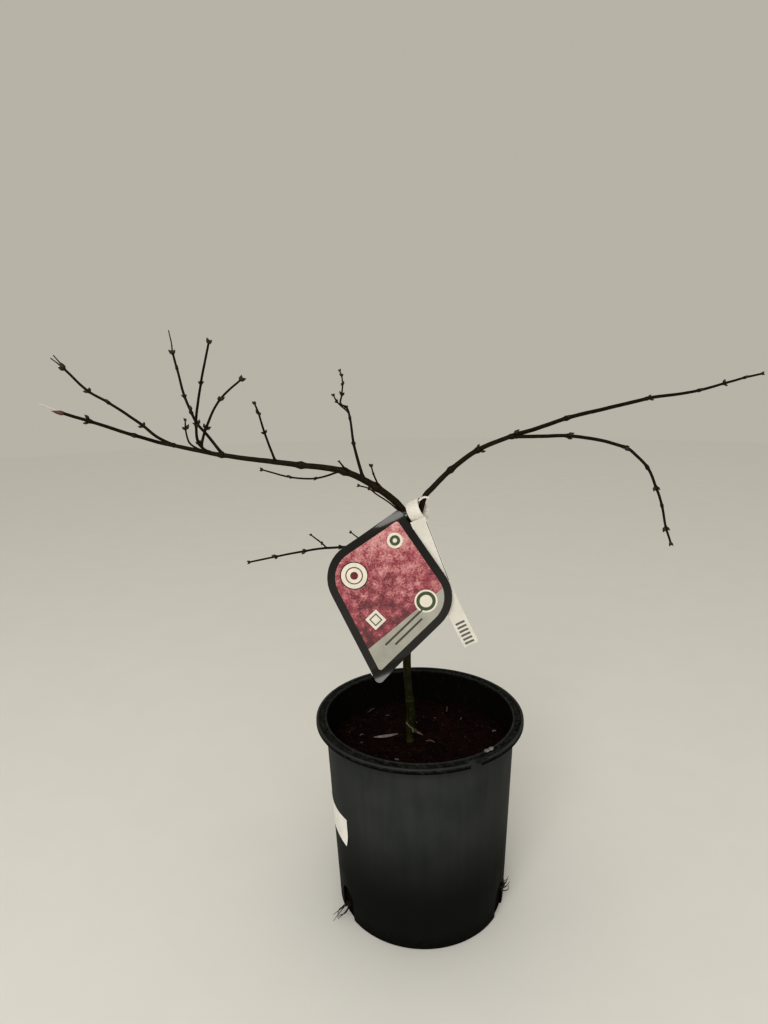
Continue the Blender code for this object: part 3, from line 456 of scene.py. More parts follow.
def picture_finish():
    """Offset-printed plastic under a gloss film: a mound of fine foliage in pinks over
    wine red, paler towards its top, partly in the print and partly as painted sheen; the
    printing dots are too fine to show."""
    material, tree, shader = new_finish("gloss printed plastic, foliage picture", 0.3, 1.5,
                                        {"Coat Weight": 0.6, "Coat Roughness": 0.1})
    place = add_node(tree, "ShaderNodeTexCoord").outputs["Object"]
    flat = add_node(tree, MAPPING, {"Vector": place, "Scale": (feature(1.0), 0.0, feature(1.0))})
    leaves = add_node(tree, NOISE, {"Vector": flat, "Scale": 0.42, "Detail": 5.0, "Roughness": 0.62,
                                    "Distortion": 1.1})
    clumps = add_node(tree, "ShaderNodeTexVoronoi", {"Vector": flat, "Scale": 0.11})
    drifts = add_node(tree, NOISE, {"Vector": flat, "Scale": 0.045, "Detail": 2.0})
    height = add_node(tree, "ShaderNodeSeparateXYZ", {"Vector": place}).outputs["Z"]
    # Paler towards the card's top: partly the print's own tone, partly painted sheen
    print_and_sheen_climb = add_node(tree, RANGE, {"Value": height, "From Min": 0.30, "From Max": 0.44, "To Min": -0.16,
                                   "To Max": 0.20})
    mound = add_node(tree, RANGE, {"Value": clumps, "From Min": 0.1, "From Max": 0.9, "To Min": 0.12,
                                   "To Max": -0.16})
    lit = add_node(tree, MATH, {0: leaves, 1: mound})
    tone = add_node(tree, MATH, {0: lit, 1: print_and_sheen_climb})
    shade = add_node(tree, RANGE, {"Value": tone, "From Min": 0.30, "From Max": 0.50})
    light = add_node(tree, RANGE, {"Value": tone, "From Min": 0.48, "From Max": 0.80})
    deep = add_node(tree, MIX, {FACTOR: drifts, FIRST: "#3a1417", SECOND: "#6a1d2c"}, data_type="RGBA")
    body = add_node(tree, MIX, {FACTOR: drifts, FIRST: "#95464c", SECOND: "#a53c51"}, data_type="RGBA")
    paint(tree, shader, deep, ((shade, body), (light, "#d9a7a4")))
    return material


DAMP = {"Specular IOR Level": 0.1}
PRINTED = {"Coat Weight": 0.5, "Coat Roughness": 0.12}
LAMINATED = {"Specular IOR Level": 0.35, "Coat Weight": 0.3, "Coat Roughness": 0.08}
THIN_FILM = {"Subsurface Weight": 0.15, "Subsurface Scale": 0.002, "Subsurface Radius": (1.0, 1.0, 1.0)}
# Plain finishes by key: the real one's name; the two colours that it drifts between; size of
# its patches in millimetres; roughness; depth of relief in millimetres; IOR; other values.
SPECKLED = {
    # Milled peat, wetted and pressed down: matte, crumbly and nearly black.
    "compost": ("damp peat compost", "#080402", "#1e0d08", 17.0, 0.95, 0.9, 1.35, DAMP),
    # A crumb of the same, drier on top: matte, and a shade redder.
    "crumb": ("peat crumb", "#090301", "#1e0d07", 9.0, 0.9, 0.3, 1.4, DAMP),
    # Shredded conifer bark: dull red flakes that catch a little light.
    "fines": ("red bark fines", "#1c0a05", "#33150b", 5.0, 0.85, 0.2, 1.45, DAMP),
    # Combed coconut husk: dry, wiry and tan.
    "fibre": ("coir fibre", "#2a190f", "#4e3524", 8.0, 0.8, 0.05, 1.5),
    # Split wood bleached by rain: pale grey and dry.
    "chip": ("weathered wood sliver", "#4c4541", "#7e7570", 3.0, 0.8, 0.1, 1.5),
    # The same, with peat worked into it: brownish grey.
    "dull chip": ("soiled wood sliver", "#332b24", "#5d554b", 2.0, 0.85, 0.1, 1.5),
    # Dried clay: chalky grey crumbs.
    "stone": ("crumb of dry grey clay", "#4b4a48", "#8b8986", 2.2, 0.9, 0.3, 1.5),
    # Peat smeared on the rim and dried: black, rough and flat.
    "mud": ("dried mud", "#0d0b08", "#211d17", 3.0, 0.95, 0.4, 1.4),
    # Overlapping winter scales: smooth and near black, with a soft shine.
    "bud": ("winter bud scales", "#130901", "#281506", 1.2, 0.5, 0.05, 1.45),
    # Scales stretched by a bud about to open: smoother and wine brown.
    "fat bud": ("swollen red bud scales", "#311a16", "#60382f", 1.6, 0.42, 0.05, 1.45),
    # Last year's leaf stalk: dry, thin and dark.
    "stalk": ("dry leaf stalk", "#1d150f", "#33271d", 3.0, 0.7, 0.04, 1.5),
    # The same with its skin gone: straw white.
    "pale stalk": ("bleached dry leaf stalk", "#b9b2a4", "#d6cfc2", 3.0, 0.65, 0.04, 1.5),
    # Rubber grafting tape, perished: soft olive grey.
    "tape": ("old grafting tape", "#5b5a45", "#8f8d72", 2.0, 0.5, 0.05, 1.5),
    # Polystyrene sheet, printed black and gloss laminated: deep, with a clear film's shine.
    "card": ("gloss laminated black card", "#0a0906", "#12110c", 30.0, 0.2, 0.01, 1.5, LAMINATED),
    # Offset print under the film, here and below: even, shiny grey, cream and inks.
    "panel": ("gloss printed grey panel", "#99978c", "#a9a79d", 20.0, 0.32, 0.01, 1.5, PRINTED),
    "badge": ("gloss printed cream badge", "#d9d3c4", "#e6e0d2", 9.0, 0.32, 0.01, 1.5, PRINTED),
    "wine ink": ("wine red ink", "#5a1a22", "#7a2a33", 4.0, 0.35, 0.01),
    "leaf ink": ("green ink", "#33402a", "#4b5a3c", 4.0, 0.35, 0.01),
    "dark ink": ("dark grey ink", "#3b3a33", "#4a493f", 4.0, 0.4, 0.01),
    # Extruded white polypropylene film: thin, waxy, slightly see-through at its edges.
    "film": ("white polypropylene film", "#d6d2c8", "#e5e1d8", 22.0, 0.38, 0.02, 1.49, THIN_FILM),
    # Thermal transfer print: thin, matte and grey. The same grey also draws the painted shadow along the
    # label tail's edge.
    "thermal": ("grey thermal print", "#55544f", "#74726b", 2.0, 0.5, 0.01),
    # Clay-coated label paper: white, with a low sheen.
    "paper": ("coated white paper", "#e4e3dd", "#f3f2ec", 14.0, 0.55, 0.03, 1.5),
    # Feeder roots dried in the air: brown and matte.
    "root": ("dead feeder root", "#1a120c", "#3b2b1e", 3.0, 0.85, 0.05, 1.45),
}
# Barks by key: name; dark, pale, worn and pore colours; roughness; spacing of the pores.
BARKS = {
    # Live green bark of a young stem: thin, satiny, olive.
    "trunk": ("live olive green bark", "#171908", "#2c2d14", "#3c3822", "#57543c", 0.5, 5.5),
    # Two-year bark: dark brown and satiny, greyer towards the fork.
    "bough": ("two year brown bark", "#100a01", "#221806", "#2a2014", "#4a3c2a", 0.55, 4.2),
    # Last year's twigs: thin, smooth and a darker, redder brown.
    "twig": ("one year red brown bark", "#0f0801", "#1e1305", "#2a1e10", "#473725", 0.52, 3.0),
}


def make_finishes():
    """Every finish on the object, by a short key."""
    finishes = {key: speckled_finish(*values) for key, values in SPECKLED.items()}
    finishes.update({key: bark_finish(*values) for key, values in BARKS.items()})
    finishes.update(pot=pot_finish(), picture=picture_finish())
    return finishes


# ---- meshes ----
def link_mesh(name, mesh):
    """Puts a mesh into the scene as an object at the origin."""
    thing = bpy.data.objects.new(name, mesh)
    bpy.context.scene.collection.objects.link(thing)
    return thing


def keep_shape(name, shape):
    """Turns a bmesh into an object just as it is."""
    mesh = bpy.data.meshes.new(name)
    shape.to_mesh(mesh)
    shape.free()
    return link_mesh(name, mesh)


def add_piece(name, shape, finish=None, sharp=35.0):
    """Turns a bmesh drawn in millimetres into an object in metres with smooth faces."""
    bmesh.ops.scale(shape, vec=(MM, MM, MM), verts=shape.verts)
    bmesh.ops.recalc_face_normals(shape, faces=shape.faces)
    thing = keep_shape(name, shape)
    thing.data.shade_smooth()
    thing.data.set_sharp_from_angle(angle=math.radians(sharp))
    if finish:
        thing.data.materials.append(finish)
    return thing


def plain_mesh(thing):
    """Replaces an object's mesh by what its modifiers make of it, and removes them."""
    depsgraph = bpy.context.evaluated_depsgraph_get()
    made = bpy.data.meshes.new_from_object(thing.evaluated_get(depsgraph), preserve_all_data_layers=True,
                                           depsgraph=depsgraph)
    thing.modifiers.clear()
    thing.data = made
    made.name = thing.name
    return thing


def face_outward(thing):
    """Turns every face of a closed mesh outward, and smooths them all."""
    shape = bmesh.new()
    shape.from_mesh(thing.data)
    bmesh.ops.recalc_face_normals(shape, faces=shape.faces)
    shape.to_mesh(thing.data)
    shape.free()
    thing.data.shade_smooth()
    return thing


def join_pieces(name, pieces):
    """Joins objects that sit at the origin into one mesh and keeps each one's finish."""
    shape = bmesh.new()
    finishes = []
    for piece in pieces:
        first = len(shape.faces)
        shape.from_mesh(piece.data)
        shape.faces.ensure_lookup_table()
        for face in shape.faces[first:]:
            finish = piece.data.materials[face.material_index]
            if finish not in finishes:
                finishes.append(finish)
            face.material_index = finishes.index(finish)
        bpy.data.objects.remove(piece, do_unlink=True)
    joined = keep_shape(name, shape)
    for finish in finishes:
        joined.data.materials.append(finish)
    return joined


def join_rings(shape, rings, closed=False, capped=False):
    """Faces from each ring of corners to the next, or to a lone corner at an end."""
    for low, high in list(zip(rings, rings[1:])) + ([(rings[-1], rings[0])] if closed else []):
        count = max(len(low), len(high))
        for side in range(count):
            following = (side + 1) % count
            if len(low) == 1:
                shape.faces.new((low[0], high[following], high[side]))
            elif len(high) == 1:
                shape.faces.new((low[side], low[following], high[0]))
            else:
                shape.faces.new((low[side], low[following], high[following], high[side]))
    if capped:
        shape.faces.new(list(reversed(rings[0])))
        shape.faces.new(rings[-1])


def settle(piece, nodes=()):
    """Rides a finished piece on the one body, and hides the parts of the model that it stands for."""
    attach(piece, ROOT)
    if nodes:
        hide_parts(*nodes)


def front_angle(degrees, radius, height):
    """A place round the pot: 0 degrees is the front, positive turns to the right."""
    angle = math.radians(degrees)
    return Vector((radius * math.sin(angle), -radius * math.cos(angle), height))


def bell(distance, width):
    """1 at no distance, falling smoothly to about a third at one width."""
    return math.exp(-(distance / width) ** 2)


# ---- geometry nodes ----
def new_tree(name, **sockets):
    """A geometry tree with named inputs, the last of them a finish, and its input sockets."""
    tree = bpy.data.node_groups.new(name, "GeometryNodeTree")
    for label, kind in (("Geometry", "Geometry"), *sockets.items(), ("Finish", "Material")):
        tree.interface.new_socket(label, in_out="INPUT", socket_type="NodeSocket" + kind)
    tree.interface.new_socket("Geometry", in_out="OUTPUT", socket_type="NodeSocketGeometry")
    return tree, add_node(tree, "NodeGroupInput").outputs


def finish_tree(tree, given, geometry):
    """Ends a tree: instances made real, then the material set."""
    real = add_node(tree, "GeometryNodeRealizeInstances", {"Geometry": geometry})
    painted = add_node(tree, "GeometryNodeSetMaterial", {"Geometry": real, "Material": given["Finish"]})
    add_node(tree, "NodeGroupOutput", {"Geometry": painted})
    return tree


def run_tree(thing, tree, values):
    """Runs a tree on an object and keeps the result as a plain mesh."""
    modifier = thing.modifiers.new(tree.name, "NODES")
    modifier.node_group = tree
    for item in tree.interface.items_tree:
        if item.in_out == "INPUT" and item.name in values:
            modifier[item.identifier] = values[item.name]
    return plain_mesh(thing)


def sweep_tree():
    """Sweeps a round section along every line, by the line's own half width, keeps where
    each point is on the shoot as its grain, and raises the bark's relief on it."""
    tree, given = new_tree("sweep_wood", Sides="Int", Relief="Float", Ridge="Float")
    width, along, turn = [add_node(tree, NAMED, {"Name": name}, data_type="FLOAT")
                          for name in ("half_width", "along", "turn")]
    sides = {"Resolution": given["Sides"], "Radius": 1.0}
    circle = add_node(tree, "GeometryNodeCurvePrimitiveCircle", sides)
    share = add_node(tree, "GeometryNodeSplineParameter")
    angle = add_node(tree, MATH, {0: share, 1: math.tau}, operation="MULTIPLY")
    section = add_node(tree, STORE, {"Geometry": circle, "Name": "turn", "Value": angle},
                       data_type="FLOAT", domain="POINT")
    line = add_node(tree, "GeometryNodeMeshToCurve", {"Mesh": given["Geometry"]})
    swept = add_node(tree, "GeometryNodeCurveToMesh", {
        "Curve": line, "Profile Curve": section, "Scale": width, "Fill Caps": True})
    flat = [add_node(tree, MATH, {0: turn}, operation=wave) for wave in ("COSINE", "SINE")]
    out = [add_node(tree, MATH, {0: part, 1: width}, operation="MULTIPLY") for part in flat]
    grain = add_node(tree, COMBINE, {0: out[0], 1: out[1], 2: along})
    kept = add_node(tree, STORE, {"Geometry": swept, "Name": "grain", "Value": grain},
                    data_type="FLOAT_VECTOR", domain="POINT")
    stretch = add_node(tree, VECTOR_MATH, {0: grain, 1: (1.0, 1.0, 0.32)}, operation="MULTIPLY")
    lumps = add_node(tree, NOISE, {"Vector": stretch, "Scale": given["Ridge"], "Detail": 3.0})
    centred = add_node(tree, MATH, {0: lumps, 1: 0.5}, operation="SUBTRACT")
    raised = add_node(tree, MATH, {0: centred, 1: given["Relief"]}, operation="MULTIPLY")
    by_width = add_node(tree, MATH, {0: raised, 1: width}, operation="MULTIPLY")
    normal = add_node(tree, "GeometryNodeInputNormal").outputs["Normal"]
    push = add_node(tree, VECTOR_MATH, {0: normal, SCALE: by_width}, operation="SCALE")
    bark = add_node(tree, "GeometryNodeSetPosition", {"Geometry": kept, "Offset": push})
    return finish_tree(tree, given, bark)


def bud_tree():
    """Stands one bud on every point, along the point's aim and at the point's length."""
    tree, given = new_tree("plant_buds", Bud="Object", Plumpness="Float", Seed="Int")
    aim = add_node(tree, NAMED, {"Name": "aim"}, data_type="FLOAT_VECTOR")
    length = add_node(tree, NAMED, {"Name": "length"}, data_type="FLOAT")
    pointing = add_node(tree, "FunctionNodeAlignRotationToVector", {"Vector": aim}, axis="Z")
    roll = add_node(tree, RANDOM, {2: 0.0, 3: math.tau, "Seed": given["Seed"]}, data_type="FLOAT")
    rolled = add_node(tree, "FunctionNodeAxisAngleToRotation", {"Axis": (0.0, 0.0, 1.0), "Angle": roll})
    stance = add_node(tree, ROTATE, {0: pointing, 1: rolled}, rotation_space="LOCAL")
    width = add_node(tree, MATH, {0: length, 1: given["Plumpness"]}, operation="MULTIPLY")
    size = add_node(tree, COMBINE, {0: width, 1: width, 2: length})
    bud = add_node(tree, "GeometryNodeObjectInfo", {"Object": given["Bud"]}).outputs["Geometry"]
    planted = add_node(tree, "GeometryNodeInstanceOnPoints", {
        "Points": given["Geometry"], "Instance": bud, "Rotation": stance, "Scale": size})
    return finish_tree(tree, given, planted)


def scatter_tree():
    """Strews one shape over a surface, each copy turned, sized and flattened by chance."""
    tree, given = new_tree("strew_pieces", Piece="Object", Density="Float", Smallest="Vector",
                           Largest="Vector", Tilt="Float", Seed="Int")
    spots = add_node(tree, "GeometryNodeDistributePointsOnFaces",
                     {"Mesh": given["Geometry"], "Density": given["Density"], "Seed": given["Seed"]})
    size = add_node(tree, RANDOM, {0: given["Smallest"], 1: given["Largest"], "Seed": given["Seed"]},
                    data_type="FLOAT_VECTOR")
    back = add_node(tree, MATH, {0: given["Tilt"], 1: -1.0}, operation="MULTIPLY")
    lowest = add_node(tree, COMBINE, {0: back, 1: back, 2: 0.0})
    highest = add_node(tree, COMBINE, {0: given["Tilt"], 1: given["Tilt"], 2: math.tau})
    turn = add_node(tree, RANDOM, {0: lowest, 1: highest, "Seed": given["Seed"]}, data_type="FLOAT_VECTOR")
    rolled = add_node(tree, "FunctionNodeEulerToRotation", {0: turn})
    laid = add_node(tree, ROTATE, {0: spots.outputs["Rotation"], 1: rolled}, rotation_space="LOCAL")
    piece = add_node(tree, "GeometryNodeObjectInfo", {"Object": given["Piece"]}).outputs["Geometry"]
    strewn = add_node(tree, "GeometryNodeInstanceOnPoints", {
        "Points": spots, "Instance": piece, "Rotation": laid, "Scale": size})
    return finish_tree(tree, given, strewn)


# ---- growing the wood ----
@dataclass
class Shoot:
    """A tapering shoot: fine centre line, and its half width, length so far and age there."""
    points: list
    halves: list
    alongs: list
    ages: list
    first: int  # the point at the shoot's root: those before it are inside its carrier
    joints: list  # shares of the length, where the leaf joints are

    def place(self, fraction):
        """Centre, direction and half width at a fraction of the length."""
        last = len(self.points) - 1
        index = min(self.first + round(fraction * (last - self.first)), last)
        low = max(index - 2, self.first)
        high = min(index + 2, last)
        along = (self.points[high] - self.points[low]).normalized()
        return self.points[index], along, self.halves[index]

    def root_at(self, share):
        """Root of a shoot that leaves this one's side at its own slant, or carries on from
        its tip: start, heading, the length that starts inside, the length that its carrier
        covers, and its collar's swelling."""
        centre, along, radius = self.place(1.0 if share is None else share)
        if share is None:
            return centre, along, SUNK_END, 0.0, NODE_COLLAR
        return centre, None, 0.0, radius, COLLAR_SWELL


def smooth_route(places, first_heading=None, steps=ROUTE_STEPS):
    """A smooth curve through the places, as Hermite spans between unit headings."""
    points = [Vector(place) for place in places]
    headings = [(b - a).normalized() for a, b in zip(points, points[1:])]
    bends = [(first + last).normalized() for first, last in zip(headings, headings[1:])]
    tangents = [first_heading or headings[0]] + bends + [headings[-1]]
    route = []
    for a, b, leaving, arriving in zip(points, points[1:], tangents, tangents[1:]):
        chord = (b - a).length
        for step in range(steps):
            t = step / steps
            rest = 1.0 - t
            route.append(a * (1 + 2 * t) * rest * rest + b * t * t * (3 - 2 * t)
                         + leaving * chord * t * rest * rest - arriving * chord * t * t * rest)
    route.append(points[-1])
    return route


def even_steps(route, step):
    """The same curve with points at even steps, and the length to each of its old points."""
    lengths = [0.0]
    for a, b in zip(route, route[1:]):
        lengths.append(lengths[-1] + (b - a).length)
    count = max(2, round(lengths[-1] / step))
    points = []
    index = 0
    for number in range(count + 1):
        wanted = lengths[-1] * number / count
        while index < len(route) - 2 and lengths[index + 1] < wanted:
            index += 1
        span = max(lengths[index + 1] - lengths[index], 1e-9)
        points.append(route[index].lerp(route[index + 1], min((wanted - lengths[index]) / span, 1.0)))
    return points, lengths


def shape_shoot(root, way, girth, joints=None, seed=1, step=STEP, old=0.0):
    """Works out a shoot from its root, the places it passes and its width at both ends.
    It bends and swells at its leaf joints, which are places of the way by number, has a
    collar where it leaves its carrier, and ends round."""
    start, outward, buried, cover, collar = root
    points, lengths = even_steps(smooth_route([start, *way], outward), step)
    length = lengths[-1]
    if joints is None:
        joints = range(len(way) - 1)
    stops = [lengths[(number + 1) * ROUTE_STEPS] / length for number in joints]
    phase = Vector((seed * 3.7, seed * 1.3, 0.0))
    spine, halves, ages = [], [], []
    last = len(points) - 1
    for index, place in enumerate(points):
        fraction = index / last
        run = fraction * length
        ahead = (points[min(index + 1, last)] - points[max(index - 1, 0)]).normalized()
        sideways = ahead.cross(Vector((0.25, 1.0, 0.1))).normalized()
        upward = ahead.cross(sideways)
        calm = min(run / CALM_LENGTH, (length - run) / CALM_LENGTH, 1.0)
        drift = noise.noise(phase + Vector((0.0, 0.0, run / WANDER_LENGTH))) * WANDER * calm
        sway = noise.noise(phase + Vector((5.0, 0.0, run / WANDER_LENGTH))) * WANDER * calm
        spine.append(place + sideways * drift + upward * sway)
        half = 0.5 * (girth[0] + (girth[1] - girth[0]) * fraction)
        scar = 0.0
        swell = 1.0
        for stop in stops:
            away = run - stop * length
            swell += JOINT_SWELL * bell(away, 0.95 * half + 0.6)
            swell += SCAR_SWELL * bell(away + 0.4 * half, 0.3)
            scar = max(scar, bell(away + 0.3, 0.5))
        swell += collar * math.exp(-max(run - cover, 0.0) / (0.8 * half + 0.4))
        tip = 1.0 - (length - run) / half
        if tip > 0.0:
            swell *= math.sqrt(max(1.0 - tip * tip, 0.02))
        halves.append(half * swell)
        ages.append(min(1.0, old + 0.75 * scar + 0.4 * math.exp(-run / 6.0)))
    head = round(buried / step)
    hidden = [spine[0] - outward * step * (head - number) for number in range(head)]
    alongs = [seed * 41.0 + number * step for number in range(head + len(spine))]
    halves = [halves[0] * 0.9] * head + halves
    return Shoot(hidden + spine, halves, alongs, [ages[0]] * head + ages, head, stops)


def sweep(name, shoots, kind, finishes):
    """Makes one mesh of many shoots by the sweep tree, with the skin and finish of a kind."""
    sides, relief, ridge = WOOD_SKINS[kind]
    mesh = bpy.data.meshes.new(name)
    places, edges, halves, alongs, ages = [], [], [], [], []
    for shoot in shoots:
        first = len(places)
        places += [point * MM for point in shoot.points]
        edges += [(first + index, first + index + 1) for index in range(len(shoot.points) - 1)]
        halves += [half * MM for half in shoot.halves]
        alongs += [along * MM for along in shoot.alongs]
        ages += shoot.ages
    mesh.from_pydata(places, edges, [])
    for label, values in (("half_width", halves), ("along", alongs), ("age", ages)):
        mesh.attributes.new(label, "FLOAT", "POINT").data.foreach_set("value", values)
    values = {"Sides": sides, "Relief": relief, "Ridge": feature(ridge), "Finish": finishes[kind]}
    return face_outward(run_tree(link_mesh(name, mesh), TREES["sweep"], values))


def bud_shape():
    """One bud, a unit long: round, pointed, with two pairs of overlapping scales."""
    shape = bmesh.new()
    rings = []
    for height, radius in BUD_PROFILE:
        ring = []
        for side in range(BUD_SIDES):
            angle = math.tau * side / BUD_SIDES
            first_scale = 0.030 if height < 0.20 + 0.25 * abs(math.cos(angle)) else 0.0
            second_scale = 0.022 if height < 0.45 + 0.30 * abs(math.sin(angle)) else 0.0
            reach = radius + first_scale + second_scale
            ring.append(shape.verts.new((reach * math.cos(angle), reach * math.sin(angle), height)))
        rings.append(ring)
    tip = shape.verts.new((0.0, 0.0, 1.0))
    base = shape.verts.new((0.0, 0.0, -0.10))
    join_rings(shape, [[base], *rings, [tip]])
    bmesh.ops.recalc_face_normals(shape, faces=shape.faces)
    model = keep_shape("bud_shape", shape)
    model.data.shade_smooth()
    return model


def plant_buds(name, buds, plumpness, seed, finish):
    """Buds is a list of place, aim and length."""
    mesh = bpy.data.meshes.new(name)
    mesh.from_pydata([place * MM for place, aim, length in buds], [], [])
    aims = mesh.attributes.new("aim", "FLOAT_VECTOR", "POINT")
    aims.data.foreach_set("vector", [value for place, aim, length in buds for value in aim])
    lengths = mesh.attributes.new("length", "FLOAT", "POINT")
    lengths.data.foreach_set("value", [length * MM for place, aim, length in buds])
    model = bud_shape()
    values = {"Bud": model, "Plumpness": plumpness, "Seed": seed, "Finish": finish}
    thing = run_tree(link_mesh(name, mesh), TREES["bud"], values)
    bpy.data.objects.remove(model, do_unlink=True)
    return thing


class Wood:
    """Everything that has grown so far, by kind."""

    def __init__(self, trunk):
        self.shoots = {"trunk": trunk}
        self.boughs = []
        self.twigs = []
        self.buds = []
        self.stalks = []
        self.chance = random.Random(51)

    def bud_pairs(self, shoot, sizes, turn):
        """Opposite buds at the leaf joints, one size for each joint, each pair a quarter
        turn from the last."""
        for index, (fraction, size) in enumerate(zip(shoot.joints, sizes)):
            centre, along, radius = shoot.place(fraction)
            across = along.cross(Vector((0.0, 1.0, 0.0))).normalized()
            second = along.cross(across)
            angle = turn + index * math.pi / 2 + self.chance.uniform(-0.2, 0.2)
            sideways = across * math.cos(angle) + second * math.sin(angle)
            for side in (-1, 1):
                aim = (along * self.chance.uniform(0.85, 1.3) + sideways * side * 0.8).normalized()
                place = centre + sideways * side * radius * 0.7
                length = BUD_LENGTH * size * self.chance.uniform(0.8, 1.15)
                if size > OPEN_BUD:
                    reach = length * 0.4
                    self.twigs.append(shape_shoot((place, aim, 0.0, 0.0, 0.1), (place + aim * reach,),
                                                  (1.7, 1.5), (), index + 3))
                    place = place + aim * (reach - 0.8)
                    length *= 0.65
                self.buds.append((place, aim, length))
                self.buds.append((place - along * 0.5, (sideways * side + along * 0.2).normalized(), 1.6))

    def end_buds(self, shoot, size):
        """The pair of buds that ends a shoot of this kind of maple, and a small one between."""
        centre, along, radius = shoot.place(1.0)
        across = along.cross(Vector((0.2, 1.0, 0.0))).normalized()
        place = centre - along * radius
        for side in (-1, 1):
            aim = (along + across * side * self.chance.uniform(0.35, 0.6)).normalized()
            self.buds.append((place + across * side * radius * 0.6, aim, BUD_LENGTH * size))
        self.buds.append((place - along * 0.4, along, BUD_LENGTH * 0.75 * size))

    def grow(self, name, carrier, share, way, girth, sizes, seed, turn=0.75, joints=None, end=1.0,
             old=0.0):
        """Grows one shoot with its buds and dry stalks, from a row of the table."""
        shoot = shape_shoot(self.shoots[carrier].root_at(share), way, girth, joints, seed, old=old)
        self.shoots[name] = shoot
        (self.boughs if name.endswith("bough") else self.twigs).append(shoot)
        self.bud_pairs(shoot, sizes, turn)
        if end:
            self.end_buds(shoot, end)
        self.stalks += [dry_stalk(shoot, tip) for tip in DRY_STALKS.get(name, ())]


def dry_stalk(shoot, tip):
    """A thin dry leaf stalk that stands on the end of a shoot."""
    centre, along, radius = shoot.place(1.0)
    start = centre - along * 1.5
    end = Vector(tip)
    middle = start.lerp(end, 0.5) + along.cross(UP) * 0.8
    girth = (STALK_WIDTH, STALK_WIDTH * 0.65)
    return shape_shoot((start, along, 0.0, 1.0, 0.5), (middle, end), girth, (), 9)


def trunk_width(rise):
    """The trunk's plain width at a height above the compost."""
    for (low, width), (high, following) in zip(TRUNK_WIDTHS, TRUNK_WIDTHS[1:]):
        if rise <= high:
            share = min(max((rise - low) / (high - low), 0.0), 1.0)
            return width + (following - width) * share * share * (3.0 - 2.0 * share)
    return TRUNK_WIDTHS[-1][1]


def grow_trunk():
    """The trunk: a thin rootstock foot, the graft's knuckle, the thicker stem above it and
    old leaf joints."""
    foot = Vector((*TRUNK_FOOT, SOIL_LEVEL + GAP))
    trunk = shape_shoot((foot, UP, 2.0, 0.0, 0.0), TRUNK_WAY, (1.0, 1.0), (), step=0.5)
    for index, place in enumerate(trunk.points):
        rise = place.z - foot.z
        swell = 1.0 + 0.04 * bell(rise - GRAFT_RISE - 1.0, 1.0)
        age = 0.7 * math.exp(-max(rise, 0.0) / 7.0) + 0.6 * bell(rise - GRAFT_RISE + 1.5, 2.5)
        age += 0.25 * bell(rise - TRUNK_TOP, 40.0)
        for joint in TRUNK_JOINTS:
            swell += 0.12 * bell(rise - joint, 4.0) + 0.05 * bell(rise - joint - 1.0, 0.6)
            age += 0.8 * bell(rise - joint - 1.6, 0.5)
        trunk.halves[index] = 0.5 * trunk_width(rise) * swell
        trunk.ages[index] = min(age, 1.0)
    return trunk


def make_tree(finishes):
    """The whole tree. Returns the left bough, for what hangs on it."""
    trunk = grow_trunk()
    stub_root = (Vector(STUB_WAY[0]), None, 0.0, 0.0, 0.0)
    stub = shape_shoot(stub_root, STUB_WAY[1:], STUB_WIDTHS, (), step=0.5, old=0.6)
    wood = Wood(trunk)
    for row in SHOOTS:
        wood.grow(*row)
    tip = wood.shoots[FAT_BUD_SHOOT]
    centre, along, radius = tip.place(1.0)
    fat_bud = (centre - along * 1.5, (along + Vector((0.0, 0.0, -0.12))).normalized(), FAT_BUD_LENGTH)
    boughs = ["left_bough", "right_bough", "right_upper_bough", "right_arch_bough", "low_left_bough"]
    sprays = [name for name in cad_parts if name.endswith(("_spray", "_spur")) or "_spray_" in name]
    settle(sweep("trunk_wood", [trunk, stub], "trunk", finishes), ["trunk"])
    settle(sweep("bough_wood", wood.boughs, "bough", finishes), boughs)
    settle(sweep("twig_wood", wood.twigs, "twig", finishes), sorted(sprays))
    settle(plant_buds("winter_buds", wood.buds, 0.95, 3, finishes["bud"]))
    settle(plant_buds("swollen_bud", [fat_bud], 0.56, 4, finishes["fat bud"]))
    settle(sweep("dry_stalks", wood.stalks, "stalk", finishes))
    bleached = [dry_stalk(tip, PALE_STALK_END)]
    settle(sweep("bleached_stalk", bleached, "pale stalk", finishes))
    return wood.shoots["left_bough"]


# ---- pot and compost ----
def wall_radius(height):
    """Outer radius of the pot's wall at a height."""
    return POT_FOOT_RADIUS + (POT_MOUTH_RADIUS - POT_FOOT_RADIUS) * height / POT_HEIGHT


def rounded_profile(corners, steps=4):
    """Rounds each corner (radius out, height, rounding) of a profile with an arc."""
    profile = []
    for index, (across, up, rounding) in enumerate(corners):
        here = Vector((across, up))
        if rounding == 0.0:
            profile.append(here)
            continue
        before = (Vector(corners[index - 1][:2]) - here).normalized()
        after = (Vector(corners[index + 1][:2]) - here).normalized()
        for step in range(steps + 1):
            t = step / steps
            profile.append(here + before * rounding * (1 - t) ** 2 + after * rounding * t ** 2)
    return profile


def turned(profile, sides):
    """Turns a profile that starts and ends on the axis into a closed shell."""
    shape = bmesh.new()
    rings = []
    for radius, height in profile:
        angles = [360.0 * side / sides for side in range(sides)] if radius else [0.0]
        rings.append([shape.verts.new(front_angle(angle, radius, height)) for angle in angles])
    join_rings(shape, rings)
    return shape


def radial_prism(angle, outline, inner, outer):
    """Runs an outline (across, up) outward through the pot's wall."""
    shape = bmesh.new()
    turn = math.radians(angle)
    across = Vector((math.cos(turn), math.sin(turn), 0.0))
    ends = [[shape.verts.new(front_angle(angle, reach, up) + across * side) for side, up in outline]
            for reach in (inner, outer)]
    join_rings(shape, ends, capped=True)
    return add_piece("cutter", shape)


